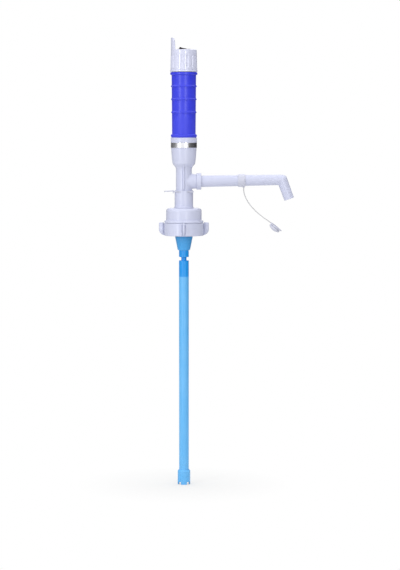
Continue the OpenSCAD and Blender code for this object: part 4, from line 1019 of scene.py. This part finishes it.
def makeDipTube():
    outer, end, top = sizeOf("dip_tube")
    look = Look(wall=1.8, columns=96)
    inner = outer - look.wall
    corners = [(inner, end, 0.3), (outer, end, 0.3), (outer, top, 0.5), (inner, top, 0.5)]
    makeTurned("dipTube", "dip_tube", corners, longest=20.0, columns=look.columns)


makeAdapter()
makeDipTube()
print("dip tube made")


# Every CAD node still shown takes the finish of its slot

for name, node in frame["nodes"].items():
    node.data.materials.clear()
    node.data.materials.append(finishOf(name))


# Studio: white surroundings, brighter above, two soft lamps in front and cloths that darken the sides

studio = Look(
    white=(1.0, 1.0, 1.0, 1.0), fill=0.36, ceiling=1.50,
    lamps=[  # name, place, aim, wide, high, watts
        ("softLeft", (-1.35, -1.75, 0.30), (0.0, 0.0, 0.0), 0.26, 1.8, 9.5),
        ("stripRight", (0.62, -2.05, 0.30), (0.0, 0.0, 0.0), 0.18, 1.6, 6.8),
    ],
    flags=[  # name, front and back foot, front and back shade, whether it shades the object
        ("flagLeft", (-1.65, -0.95), (-1.316, -0.20), 0.60, 0.16, True),
        ("flagLeftBack", (-1.316, -0.20), (-0.40, 1.86), 0.60, 0.16, False),
        ("flagRight", (1.35, -1.65), (0.958, -0.20), 0.16, 0.04, True),
        ("flagRightBack", (0.958, -0.20), (0.40, 1.86), 0.16, 0.04, False),
    ],
    flagLow=-0.40, flagHigh=0.85, flagFade=(-0.9, 0.5), flagRough=0.9, flagWeave=40.0, flagDeep=0.0005,
    floorGap=0.0004, floorHalf=6.0, floorShade=(0.64, 0.64, 0.64, 1.0), floorGlow=0.6,
    shadowNear=0.02, shadowFade=0.16,
)


def makeWorld():
    # plain white to look at and in reflections; its light is dimmer, and brighter from above
    world = bpy.data.worlds.new("studio")
    bpy.context.scene.world = world
    world.use_nodes = True
    world.node_tree.nodes.clear()
    wire = Wire(world.node_tree)
    rays = ("Is Camera Ray", "Is Glossy Ray", "Is Transmission Ray")
    seen = sum(wire.node("LightPath", out=ray) for ray in rays).clamped()
    white = wire.node("Background", {"Color": studio.white, "Strength": 1.0})
    up = wire.node("TexCoord", out="Generated").part("Z")
    level = studio.fill + up.clamped() * studio.ceiling
    soft = wire.node("Background", {"Color": studio.white, "Strength": level})
    mixed = wire.node("MixShader", {0: seen, 1: soft, 2: white})
    wire.node("OutputWorld", {"Surface": mixed})


def makeLamps():
    for name, place, aim, wide, high, watts in studio.lamps:
        data = bpy.data.lights.new(name, "AREA")
        data.shape = "RECTANGLE"
        data.size = wide
        data.size_y = high
        data.energy = watts
        lamp = addObject(name, data)
        lamp.location = place
        pointAt(lamp, aim)


def makeSheet(name, corners, material):
    # one flat face of the studio
    mesh = bpy.data.meshes.new(name)
    mesh.from_pydata(corners, [], [(0, 1, 2, 3)])
    mesh.materials.append(material)
    return addObject(name, mesh)


def paleFloor(name):
    # to the camera it glows white, less so near the object, where its shadow shows; otherwise matt grey
    material, wire = newMaterial(name)
    flat = stretched(wire, (1.0, 1.0, 0.0))
    away = wire.node("VectorMath", {0: flat}, {"operation": "LENGTH"}, out="Value")
    fade = ((away - studio.shadowNear) / studio.shadowFade).clamped()
    seen = wire.node("LightPath", out="Is Camera Ray")
    glow = seen * (studio.floorGlow + fade * (1.0 - studio.floorGlow))
    lit = wire.node("BsdfDiffuse", {"Color": studio.floorShade})
    white = wire.node("Emission", {"Color": studio.white, "Strength": 1.0})
    shader = wire.node("MixShader", {0: glow, 1: lit, 2: white})
    wire.node("OutputMaterial", {"Surface": shader})
    return material


def makeFloor():
    half, level = studio.floorHalf, cadBox[0][2] - studio.floorGap
    corners = [(-half, -half, level), (half, -half, level), (half, half, level), (-half, half, level)]
    floor = makeSheet("floor", corners, paleFloor("paleFloor"))


def flagCloth(name, front, dark):
    # matt cloth, from the front shade to the back one along Y
    material, wire = newMaterial(name)
    place = wire.place()
    depth = place.part("Y")
    start, end = studio.flagFade
    back = ((depth - start) / (end - start)).clamped() ** 0.5
    shade = back.blend((front, front, front, 1.0), (dark, dark, dark, 1.0))
    weave = noiseAt(wire, place, studio.flagWeave)
    finishShader(wire, shade, studio.flagRough, weave, studio.flagDeep)
    return material


def makeFlags():
    low, high = studio.flagLow, studio.flagHigh
    for name, one, other, front, dark, shades in studio.flags:
        corners = [(*one, low), (*other, low), (*other, high), (*one, high)]
        flag = makeSheet(name, corners, flagCloth(name + "Cloth", front, dark))
        flag.visible_camera = False
        flag.visible_diffuse = shades


makeWorld()
makeLamps()
makeFlags()
makeFloor()
bpy.context.scene.view_settings.view_transform = "Standard"
print("studio set")

bpy.context.view_layer.update()
